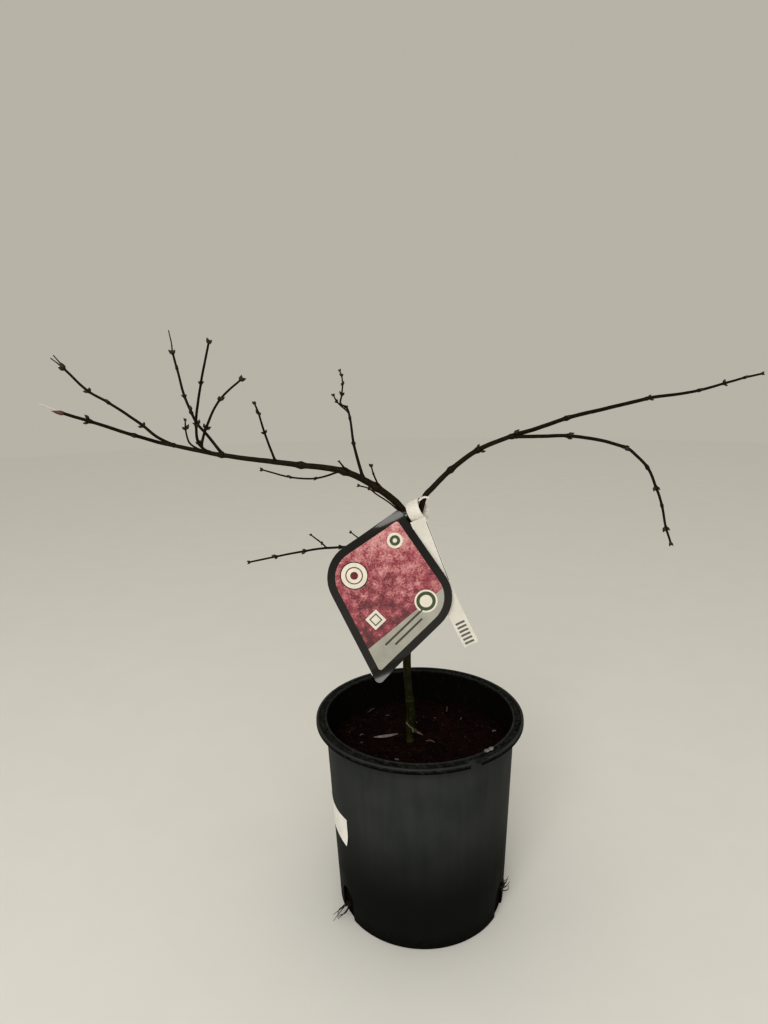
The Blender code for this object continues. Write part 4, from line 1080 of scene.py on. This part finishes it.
def dirt_and_shade_cover(radius, height):
    """How dark the pot is made at a place, by dust and by painted shade: dust in the rim's
    groove and mouth, less on what hands rub clean; painted shade in full inside the wall
    and as a line along the flange skirt's lower edge; and more towards the foot, a mud film
    with painted shade near the floor."""
    # painted shade: the inside of the wall is darkened in full
    if radius < wall_radius(height) - POT_WALL * 0.5 and height < POT_HEIGHT - 3.0:
        return 1.0
    if radius > POT_RIM_RADIUS - 2.6:  # the flange's outer ridge and its skirt
        if height > POT_HEIGHT - 1.4:
            return 0.25
        # the full value along the skirt's lower edge is a painted shadow line
        return 1.0 if height < FLANGE_SKIRT + 1.2 else 0.55
    if height > POT_HEIGHT - FLANGE_THICKNESS:  # the groove and the mouth's edge
        return 0.7 if radius > POT_MOUTH_RADIUS + 0.5 else 0.5
    # the outer wall darkens towards the foot: a mud film with painted shade near the floor
    return 0.15 + 0.5 * bell(height, 16.0)


def make_pot(finishes):
    """The thin moulded shell with its flange, drain slots and grip notches."""
    under = POT_HEIGHT - FLANGE_THICKNESS
    heights = [under * share / 10.0 for share in range(1, 10)]
    corners = [(0.0, 0.0, 0.0), (POT_FOOT_RADIUS, 0.0, 2.4)]
    corners += [(wall_radius(height), height, 0.0) for height in heights]
    corners += [
        (wall_radius(under), under, 1.2),
        (POT_RIM_RADIUS - POT_WALL, under, 0.8),
        (POT_RIM_RADIUS - POT_WALL, FLANGE_SKIRT, 0.2),
        (POT_RIM_RADIUS, FLANGE_SKIRT, 1.0),
        (POT_RIM_RADIUS, POT_HEIGHT - 0.5, 1.2),
        (POT_RIM_RADIUS - 2.3, POT_HEIGHT - 0.5, 0.8),
        (POT_RIM_RADIUS - 3.3, POT_HEIGHT - FLANGE_GROOVE, 0.5),
        (POT_MOUTH_RADIUS + 0.9, POT_HEIGHT - FLANGE_GROOVE, 0.5),
        (POT_MOUTH_RADIUS + 0.2, POT_HEIGHT, 0.6),
        (POT_MOUTH_RADIUS - POT_WALL, POT_HEIGHT, 0.6),
    ]
    heights = [POT_HEIGHT - 3.5] + heights[::-1]
    corners += [(wall_radius(height) - POT_WALL, height, 0.0) for height in heights]
    corners += [(wall_radius(POT_WALL) - POT_WALL, POT_WALL, 1.2), (0.0, POT_WALL, 0.0)]
    pot = add_piece("pot_shell", turned(rounded_profile(corners), POT_SIDES))
    half = DRAIN_WIDTH * 0.5
    turns = [step * math.pi / 16 for step in range(17)]
    arch = [(half * math.cos(turn), DRAIN_HEIGHT - half + half * math.sin(turn)) for turn in turns]
    slot = [(half, -CUT_PAST)] + arch + [(-half, -CUT_PAST)]
    inner, outer = POT_FOOT_RADIUS - DRAIN_INWARD, POT_FOOT_RADIUS + DRAIN_OUTWARD
    cutters = [radial_prism(angle, slot, inner, outer) for angle in DRAIN_ANGLES]
    half = NOTCH_WIDTH * 0.5
    low, high = FLANGE_SKIRT - CUT_PAST, POT_HEIGHT + CUT_PAST
    notch = [(half, low), (half, high), (-half, high), (-half, low)]
    outer = POT_RIM_RADIUS + NOTCH_OUTWARD
    cutters += [radial_prism(angle, notch, NOTCH_FLOOR, outer) for angle in NOTCH_ANGLES]
    for cutter in cutters:
        modifier = pot.modifiers.new("Cut", "BOOLEAN")
        modifier.operation = "DIFFERENCE"
        modifier.object = cutter
        modifier.solver = "MANIFOLD"
    plain_mesh(pot)
    for cutter in cutters:
        bpy.data.objects.remove(cutter, do_unlink=True)
    mesh = pot.data
    mesh.set_sharp_from_angle(angle=math.radians(32.0))
    mesh.materials.clear()
    mesh.materials.append(finishes["pot"])
    places = [corner.co for corner in mesh.vertices]
    dirt = [dirt_and_shade_cover(math.hypot(place.x, place.y) / MM, place.z / MM) for place in places]
    mesh.attributes.new("dirt", "FLOAT", "POINT").data.foreach_set("value", dirt)
    settle(pot, ["pot"])


def rough_height(x, y):
    """Height of the compost's crumbly surface above its level."""
    place = Vector((x, y, 0.0))
    lumps = noise.noise(place / 21.0) * 2.8 + noise.noise(place / 8.0 + UP) * 1.9
    crumbs = noise.noise(place / 2.8) * 0.9
    mound = 1.6 * bell(math.hypot(x - TRUNK_FOOT[0], y - TRUNK_FOOT[1]), 16.0)
    rim = -2.2 * bell(wall_radius(SOIL_LEVEL) - math.hypot(x, y), 9.0)
    return lumps + crumbs + mound + rim


def crumb_shape(seed, roughness):
    """A lumpy crumb about one unit across."""
    shape = bmesh.new()
    bmesh.ops.create_icosphere(shape, subdivisions=1, radius=0.5)
    for corner in shape.verts:
        corner.co *= 1.0 + roughness * noise.noise(corner.co * 3.0 + Vector((seed, 0.0, 0.0)))
    return keep_shape("crumb_shape", shape)


def chip_shape():
    """A flat broken flake about one unit across."""
    outline = ((0.5, 0.05), (0.31, 0.38), (-0.08, 0.5), (-0.42, 0.33), (-0.5, -0.12), (-0.2, -0.45),
               (0.3, -0.36))
    shape = bmesh.new()
    low = [shape.verts.new((x, y, -0.35 + 0.2 * y)) for x, y in outline]
    high = [shape.verts.new((x * 0.86, y * 0.82, 0.35 + 0.25 * x)) for x, y in outline]
    join_rings(shape, [low, high], capped=True)
    return keep_shape("chip_shape", shape)


def fibre_shape():
    """A bent strand about one unit long."""
    way = ((-0.5, -0.08, 0.0), (-0.22, 0.06, 0.03), (0.05, 0.0, 0.05), (0.3, -0.09, 0.02),
           (0.5, 0.02, -0.02))
    angles = [math.tau * side / 3 for side in range(3)]
    shape = bmesh.new()
    rings = [[shape.verts.new(Vector(place) + Vector((0.0, math.cos(angle), math.sin(angle))) * 0.018)
              for angle in angles] for place in way]
    join_rings(shape, rings, capped=True)
    bmesh.ops.recalc_face_normals(shape, faces=shape.faces)
    return keep_shape("fibre_shape", shape)


def make_compost(finishes):
    """The compost's body, and the crumbs, chips and fibres strewn over it."""
    floor = POT_WALL + GAP
    edge = wall_radius(SOIL_LEVEL) - POT_WALL - GAP * 0.5
    low_edge = wall_radius(floor) - POT_WALL - GAP * 1.5
    profile = [(0.0, floor), (low_edge * 0.5, floor)]
    shares = [step / COMPOST_LEVELS for step in range(COMPOST_LEVELS + 1)]
    profile += [(low_edge + (edge - low_edge) * share, floor + (SOIL_LEVEL - floor) * share)
                for share in shares]
    profile += [(edge * (1.0 - ring / COMPOST_RINGS), SOIL_LEVEL) for ring in range(1, COMPOST_RINGS)]
    profile += [(0.0, SOIL_LEVEL)]
    shape = turned(profile, COMPOST_SIDES)
    for corner in shape.verts:
        x, y, z = corner.co
        if z > SOIL_LEVEL - 0.01:
            corner.co.z = SOIL_LEVEL + rough_height(x, y)
        elif z > floor + 1.0:
            inward = 1.0 - 0.012 * (noise.noise(corner.co / 5.0) + 1.0)
            corner.co.x *= inward
            corner.co.y *= inward
    settle(add_piece("compost_body", shape, finishes["compost"], 60.0), ["soil"])
    surface = bmesh.new()
    grid = bmesh.ops.create_grid(surface, x_segments=COMPOST_GRID, y_segments=COMPOST_GRID, size=edge)
    far = [corner for corner in grid["verts"] if corner.co.length > edge - 2.0]
    bmesh.ops.delete(surface, geom=far, context="VERTS")
    for corner in surface.verts:
        corner.co.z = SOIL_LEVEL + rough_height(corner.co.x, corner.co.y)
    ground = add_piece("ground", surface)
    strew = (  # name, shape, finish, pieces a square metre, smallest, largest, tilt, seed
        ("peat_crumbs", crumb_shape(5, 0.5), "crumb", 58000.0, (1.0, 1.0, 0.7), (4.2, 3.6, 2.6), 3.0, 11),
        ("peat_lumps", crumb_shape(9, 0.7), "compost", 3600.0, (4.5, 4.0, 2.6), (9.5, 8.0, 5.0), 0.8, 16),
        ("bark_fines", chip_shape(), "fines", 8000.0, (1.4, 0.9, 0.5), (6.0, 3.0, 1.2), 0.6, 12),
        ("bark_chips", chip_shape(), "crumb", 6500.0, (3.0, 2.0, 0.8), (10.0, 5.5, 2.0), 0.55, 13),
        ("coir_fibres", fibre_shape(), "fibre", 7000.0, (4.0, 4.0, 3.0), (13.0, 12.0, 9.0), 0.35, 14),
        ("pale_specks", chip_shape(), "chip", 800.0, (0.7, 0.5, 0.4), (2.4, 1.4, 0.7), 0.8, 15),
    )
    for name, model, finish, density, smallest, largest, tilt, seed in strew:
        piece = run_tree(link_mesh(name, ground.data.copy()), TREES["scatter"], {
            "Piece": model, "Density": density, "Smallest": Vector(smallest) * MM,
            "Largest": Vector(largest) * MM, "Tilt": tilt, "Seed": seed, "Finish": finishes[finish]})
        bpy.data.objects.remove(model, do_unlink=True)
        settle(piece)
    bpy.data.objects.remove(ground, do_unlink=True)


# ---- loose bits ----
def lump(middle, size, turn, finish):
    """One rough lump, stretched and turned about the vertical."""
    shape = bmesh.new()
    bmesh.ops.create_icosphere(shape, subdivisions=3, radius=0.5)
    spin = Quaternion(UP, math.radians(turn))
    for corner in shape.verts:
        swell = 0.45 * noise.noise(corner.co * 2.6 + Vector(middle)) + 0.25 * noise.noise(corner.co * 7.0)
        corner.co = Vector(middle) + spin @ (corner.co * (1.0 + swell) * Vector(size))
    return add_piece("lump", shape, finish, 40.0)


def make_loose_bits(finishes):
    """Wood slivers on the compost, a scrap of tape at the graft, mud on the rim and the
    feeder roots that have grown out of the drain slots."""
    slivers = [strip(smooth_route(way, steps=BIT_STEPS), SLIVER_ACROSS, width, 0.5, finishes[finish], -0.5,
                     tapered=True) for way, width, finish in SLIVERS]
    settle(join_pieces("wood_slivers", slivers))
    strands = [strip(smooth_route(way, steps=BIT_STEPS), TAPE_ACROSS, 1.3, 0.2, finishes["tape"], 0.1)
               for way in TAPE_WAYS]
    settle(join_pieces("graft_tape", strands))
    lumps = [lump(*facts, finishes[finish]) for *facts, finish in MUD]
    settle(join_pieces("rim_mud", lumps))
    chance = random.Random(77)

    def near(place, spread):
        return Vector(place) + Vector([chance.uniform(-spread, spread) for axis in range(3)])

    strands = []
    for start, end, spread, count in ROOT_TUFTS:
        for number in range(count):
            first = near(start, TUFT_START)
            final = near(end, spread)
            final.z = max(final.z, LOWEST_ROOT)
            middle = near(first.lerp(final, chance.uniform(0.4, 0.65)), TUFT_BEND)
            middle.z = max(middle.z, LOWEST_ROOT)
            strands.append(shape_shoot((first, None, 0.0, 0.0, 0.0), (middle, final), ROOT_WIDTHS, (),
                                       40 + number, old=1.0))
    settle(sweep("feeder_roots", strands, "root", finishes))


# ---- card, label and sticker ----
def rounded_outline(corners, radii, steps=10):
    """Rounds each corner of a clockwise polygon with an arc."""
    outline = []
    count = len(corners)
    for index, (corner, radius) in enumerate(zip(corners, radii)):
        here = Vector(corner)
        before = (Vector(corners[index - 1]) - here).normalized()
        after = (Vector(corners[(index + 1) % count]) - here).normalized()
        half = before.angle(after) * 0.5
        centre = here + (before + after).normalized() * (radius / math.sin(half))
        start = here + before * (radius / math.tan(half)) - centre
        for step in range(steps + 1):
            angle = (2 * half - math.pi) * step / steps
            cosine, sine = math.cos(angle), math.sin(angle)
            across = start.x * cosine - start.y * sine
            outline.append(centre + Vector((across, start.x * sine + start.y * cosine)))
    return outline


def inset(corners, distance):
    """Moves every side of a clockwise convex outline inward by a distance."""
    sides = []
    for a, b in zip(corners, corners[1:] + corners[:1]):
        along = (Vector(b) - Vector(a)).normalized()
        sides.append((Vector(a) + Vector((along.y, -along.x)) * distance, along))
    moved = []
    for index, (place, along) in enumerate(sides):
        before, heading = sides[index - 1]
        cross = heading.x * along.y - heading.y * along.x
        reach = ((place.x - before.x) * along.y - (place.y - before.y) * along.x) / cross
        moved.append(before + heading * reach)
    return moved


def card_point(across, up, lift):
    """A place on the card's front: it leans out, bows a little and curls at its lower tip."""
    top = CARD_CORNERS[0][1]
    foot = CARD_CORNERS[2][1]
    depth = CARD_TOP_DEPTH + (CARD_FOOT_DEPTH - CARD_TOP_DEPTH) * (top - up) / (top - foot)
    over = (across - CARD_CORNERS[2][0]) * CARD_CURL_RUN[0] + (up - foot) * CARD_CURL_RUN[1]
    low = max(0.0, 1.0 - over / CARD_CURL_REACH)
    bow = CARD_BOW * ((across - CARD_BOW_MIDDLE) / CARD_BOW_REACH) ** 2
    corner = Vector(CARD_CORNERS[0])
    edge = (Vector(CARD_CORNERS[3]) - corner).normalized()
    place = Vector((across, up)) - corner
    inside = abs(place.x * edge.y - place.y * edge.x)
    fade = max(0.0, 1.0 - max(0.0, place.dot(edge)) / CARD_BEND_FADE)
    back = CARD_TOP_BEND * max(0.0, CARD_BEND_REACH - inside) ** 2 * fade
    return Vector((across, depth + bow + back - CARD_CURL * low * low - CARD_THICKNESS - lift, up))


def card_sheet(outline, lift, thickness, finish):
    """A thin printed area or plate that follows the card: its outline is filled, cut into
    small squares so that it can bend, and given a thickness."""
    shape = bmesh.new()
    shape.faces.new([shape.verts.new((x, 0.0, z)) for x, z in outline])
    top, foot, left = [Vector((CARD_CORNERS[corner][0], 0.0, CARD_CORNERS[corner][1]))
                       for corner in (0, 2, 3)]
    edge = left - top
    inward = Vector((-edge.z, 0.0, edge.x)).normalized()
    fading = Vector((CARD_CURL_RUN[0], 0.0, CARD_CURL_RUN[1]))
    for axis, start, reach, step in (
        (Vector((1.0, 0.0, 0.0)), Vector((CARD_FRAME[0][0], 0.0, 0.0)), CARD_FRAME[0][1], SHEET_STEP),
        (UP, UP * CARD_FRAME[1][0], CARD_FRAME[1][1], SHEET_STEP),
        (fading, foot - fading * BEND_MARGIN, CARD_CURL_REACH + BEND_MARGIN, BEND_STEP),
        (inward, top, CARD_BEND_REACH, BEND_STEP),
    ):
        for number in range(int(reach / step) + 1):
            bmesh.ops.bisect_plane(shape, geom=shape.verts[:] + shape.edges[:] + shape.faces[:],
                                   plane_co=start + axis * (number * step), plane_no=axis)
    copies = bmesh.ops.duplicate(shape, geom=list(shape.faces))["geom"]
    back = {item for item in copies if isinstance(item, bmesh.types.BMVert)}
    for corner in shape.verts:
        corner.co = card_point(corner.co.x, corner.co.z, lift + (-thickness if corner in back else 0.0))
    bmesh.ops.bridge_loops(shape, edges=[edge for edge in shape.edges if len(edge.link_faces) == 1])
    return add_piece("sheet", shape, finish, 40.0)


def strip(route, hint, width, thickness, finish, rounding=0.5, side=0.0, lift=0.0, span=None, closed=False,
          tapered=False):
    """A flat strip along a route, its width nearest to a hinted way, bowed across it. A side
    and a lift move it over the face of a wider strip of that span, as print on a label. A
    tapered one is pointed."""
    shape = bmesh.new()
    rings = []
    lanes = 7
    last = len(route) - 1
    half_span = (span or width) * 0.5
    hint = Vector(hint)
    for index, place in enumerate(route):
        before = route[index - 1] if closed else route[max(index - 1, 0)]
        after = route[(index + 1) % len(route)] if closed else route[min(index + 1, last)]
        ahead = (after - before).normalized()
        across = (hint - ahead * hint.dot(ahead)).normalized()
        facing = ahead.cross(across)
        share = math.sin(math.pi * (index + 0.3) / (last + 0.6)) ** 0.7 if tapered else 1.0
        ring = []
        for face in (-1, 1):
            for lane in range(lanes)[::-face]:
                reach = side + (lane / (lanes - 1) - 0.5) * width * share
                bow = facing * (rounding * (reach / half_span) ** 2 + lift + face * thickness * 0.5)
                ring.append(shape.verts.new(place + across * reach + bow))
        rings.append(ring)
    join_rings(shape, rings, closed, not closed)
    return add_piece("strip", shape, finish, 50.0)


def ring_route(centre, axis, radius, steps):
    """Points all the way round an axis."""
    across = axis.cross(UP).normalized()
    second = axis.cross(across)
    route = []
    for step in range(steps):
        angle = math.radians(360.0 * step / steps)
        route.append(centre + (across * math.cos(angle) + second * math.sin(angle)) * radius)
    return route


def make_card(finishes, left):
    """The picture card: black border, a plain foliage picture, a grey panel with two plain
    rules, and simple badges, hung by a black strap round the left bough."""
    plate = rounded_outline(CARD_CORNERS, CARD_ROUNDING)
    parts = [card_sheet(plate, 0.0, CARD_THICKNESS, finishes["card"])]
    field = rounded_outline(inset(CARD_CORNERS, CARD_BORDER), PICTURE_ROUNDING)
    corner = Vector(CARD_CORNERS[1])
    low_edge = (Vector(CARD_CORNERS[2]) - corner).normalized()
    inward = Vector((low_edge.y, -low_edge.x))
    divide = Vector(PICTURE_DIVIDE[0])
    divide_run = (Vector(PICTURE_DIVIDE[1]) - divide).normalized()
    above = Vector((divide_run.y, -divide_run.x))

    def print_area(outline, level, finish):
        parts.append(card_sheet(outline, PRINT_LIFT * level, PRINT_THICKNESS, finishes[finish]))

    for keep, finish in ((1.0, "picture"), (-1.0, "panel")):
        kept = []  # the part of the field on one side of the dividing line
        for a, b in zip(field, field[1:] + field[:1]):
            here, there = (a - divide).dot(above) * keep, (b - divide).dot(above) * keep
            if here >= 0:
                kept.append(a)
            if (here >= 0) != (there >= 0):
                kept.append(a.lerp(b, here / (here - there)))
        print_area(kept, 1, finish)
    angles = [math.tau * side / 40 for side in range(40)]
    for middle, discs in BADGES:
        for level, (radius, finish) in enumerate(discs, 2):
            print_area([(middle[0] + radius * math.cos(angle), middle[1] + radius * math.sin(angle))
                        for angle in angles], level, finish)
    for level, (half, finish) in enumerate(STAMP_SQUARES, 2):
        square = [Vector(STAMP_MIDDLE) + (low_edge * across + inward * up) * half
                  for across, up in ((1, 1), (1, -1), (-1, -1), (-1, 1))]
        print_area(square, level, finish)
    for reach, start, end in RULES:
        a, b = [corner + inward * reach + low_edge * along for along in (start, end)]
        print_area([a, b, b + inward * RULE_WIDTH, a + inward * RULE_WIDTH], 2, "dark ink")
    centre, along, radius = left.place(STRAP_SHARE)
    loop = ring_route(centre, along, radius + GAP + STRAP_THICKNESS * 0.5, 40)
    parts.append(strip(loop, along, STRAP_WIDTH, STRAP_THICKNESS, finishes["card"], 0.0, closed=True))
    front = centre + Vector((0.0, -radius - GAP - STRAP_THICKNESS, 0.0))
    inside = card_point(CARD_CORNERS[0][0] + 1.0, CARD_CORNERS[0][1] - STRAP_DROP, 0.5)
    way = [front + Vector((0.0, 0.2, 1.5)), front + Vector((0.0, -1.2, -3.0)), inside]
    parts.append(strip(smooth_route(way, steps=8), (1.0, 0.0, 0.0), STRAP_WIDTH, STRAP_THICKNESS * 1.4,
                       finishes["card"], 0.2))
    settle(join_pieces("hanging_card", parts), ["picture_card"])


def make_label(finishes):
    """The white loop label: its loop hangs on the right bough, its tail behind the card.
    Even plain bars stand for its print, and a dark line along the tail's right edge is a
    painted shadow."""
    film = finishes["film"]
    axis = Vector(LABEL_LOOP_AXIS).normalized()
    loop = ring_route(Vector(LABEL_LOOP_CENTRE), axis, LABEL_LOOP_RADIUS, 72)
    lock = smooth_route(LABEL_LOCK_WAY, steps=8)
    tail = smooth_route(LABEL_TAIL_WAY, steps=24)
    parts = [
        strip(loop, axis, LABEL_LOOP_WIDTH, LABEL_THICKNESS, film, -0.5, closed=True),
        strip(lock, UP, LABEL_LOCK_WIDTH, LABEL_THICKNESS, film, 0.1),
        strip(tail, LABEL_ACROSS, LABEL_WIDTH, LABEL_THICKNESS, film, LABEL_BOW),
    ]
    front = LABEL_THICKNESS * 0.5 + PRINT_LIFT
    # The first strip is the painted shadow along the tail's edge; the others are the print's bars
    for side, width, first, last in (LABEL_EDGE_SHADOW, *LABEL_BARS):
        parts.append(strip(tail[first:last + 1], LABEL_ACROSS, width, PRINT_LIFT, finishes["thermal"],
                           LABEL_BOW, side, front, LABEL_WIDTH))
    settle(join_pieces("loop_tag", parts), ["loop_label"])


def make_sticker(finishes):
    """A plain paper sticker on the pot's wall, with one corner lifting."""
    shape = bmesh.new()
    columns, rows = STICKER_GRID
    first, last = STICKER_ANGLES
    for proud in STICKER_FACES:
        grid = []
        for column in range(columns + 1):
            line = []
            for row in range(rows + 1):
                across, up = column / columns, row / rows
                height = STICKER_LOW + (STICKER_HIGH - STICKER_LOW) * up
                lifting = 2.2 * max(0.0, across + (1.0 - up) - 1.55) ** 2 / 0.2
                crease = 0.10 * noise.noise(Vector((across * 6.0, up * 3.0, 0.0)))
                radius = wall_radius(height) + proud + lifting + crease
                line.append(shape.verts.new(front_angle(first + (last - first) * across, radius, height)))
            grid.append(line)
        for a, b in zip(grid, grid[1:]):
            for low in range(rows):
                shape.faces.new((a[low], b[low], b[low + 1], a[low + 1]))
    bmesh.ops.bridge_loops(shape, edges=[edge for edge in shape.edges if len(edge.link_faces) == 1])
    settle(add_piece("wall_sticker", shape, finishes["paper"], 50.0), ["pot_sticker"])


# ---- stage, light and camera ----
def make_stage():
    """A wide pale floor and even grey air."""
    shape = bmesh.new()
    bmesh.ops.create_circle(shape, cap_ends=True, segments=96, radius=FLOOR_RADIUS)
    # Uncoated paper roll: pale, even and without shine.
    paper = speckled_finish("matte studio paper", "#dfdeda", "#e1e0dc", 90.0, 0.9, 0.02, 1.5,
                            {"Specular IOR Level": 0.0})
    add_piece("studio_floor", shape, paper)
    world = bpy.data.worlds.new("studio_air")
    bpy.context.scene.world = world
    world.use_nodes = True
    backdrop = world.node_tree.nodes["Background"]
    backdrop.inputs["Color"].default_value = linear(AIR_COLOUR)
    backdrop.inputs["Strength"].default_value = 1.0


def make_lights():
    """A broad light from above the viewer, a weak one beside it, and an even sky."""
    for name, kind, place, target, energy, size, colour in LIGHTS:
        light = bpy.data.lights.new(name, kind)
        light.energy = energy
        light.color = linear(colour)[:3]
        if kind == "AREA":
            light.size = size
        else:
            light.angle = math.radians(size)
        lamp = bpy.data.objects.new(name, light)
        lamp.location = Vector(place)
        lamp.rotation_euler = (Vector(target) - Vector(place)).to_track_quat("-Z", "Y").to_euler()
        bpy.context.scene.collection.objects.link(lamp)


def make_camera():
    """For a frame of 768 by 1024: the lens is given against the long side."""
    frame_width, frame_height = FRAME_SIZE
    camera = bpy.data.cameras.new("camera")
    camera.sensor_width = 36.0
    camera.lens = CAMERA_FOCAL / frame_height * camera.sensor_width
    camera.shift_x = (frame_width / 2 - FRAME_CENTRE[0]) / frame_height
    camera.shift_y = (FRAME_CENTRE[1] - frame_height / 2) / frame_height
    camera.clip_start = 0.02
    camera.clip_end = 60.0
    holder = bpy.data.objects.new("camera", camera)
    pitch = Quaternion((1.0, 0.0, 0.0), math.radians(90.0 - CAMERA_PITCH))
    roll = Quaternion((0.0, 0.0, 1.0), math.radians(CAMERA_ROLL))
    holder.rotation_mode = "QUATERNION"
    holder.rotation_quaternion = pitch @ roll
    holder.location = CAMERA_PLACE
    bpy.context.scene.collection.objects.link(holder)
    bpy.context.scene.camera = holder


make_camera()
bpy.context.scene.view_settings.view_transform = "Standard"
bpy.context.scene.view_settings.look = "Medium High Contrast"
TREES = {"sweep": sweep_tree(), "bud": bud_tree(), "scatter": scatter_tree()}
FINISHES = make_finishes()
make_stage()
make_lights()
make_pot(FINISHES)
make_compost(FINISHES)
make_loose_bits(FINISHES)
make_card(FINISHES, make_tree(FINISHES))
make_label(FINISHES)
make_sticker(FINISHES)
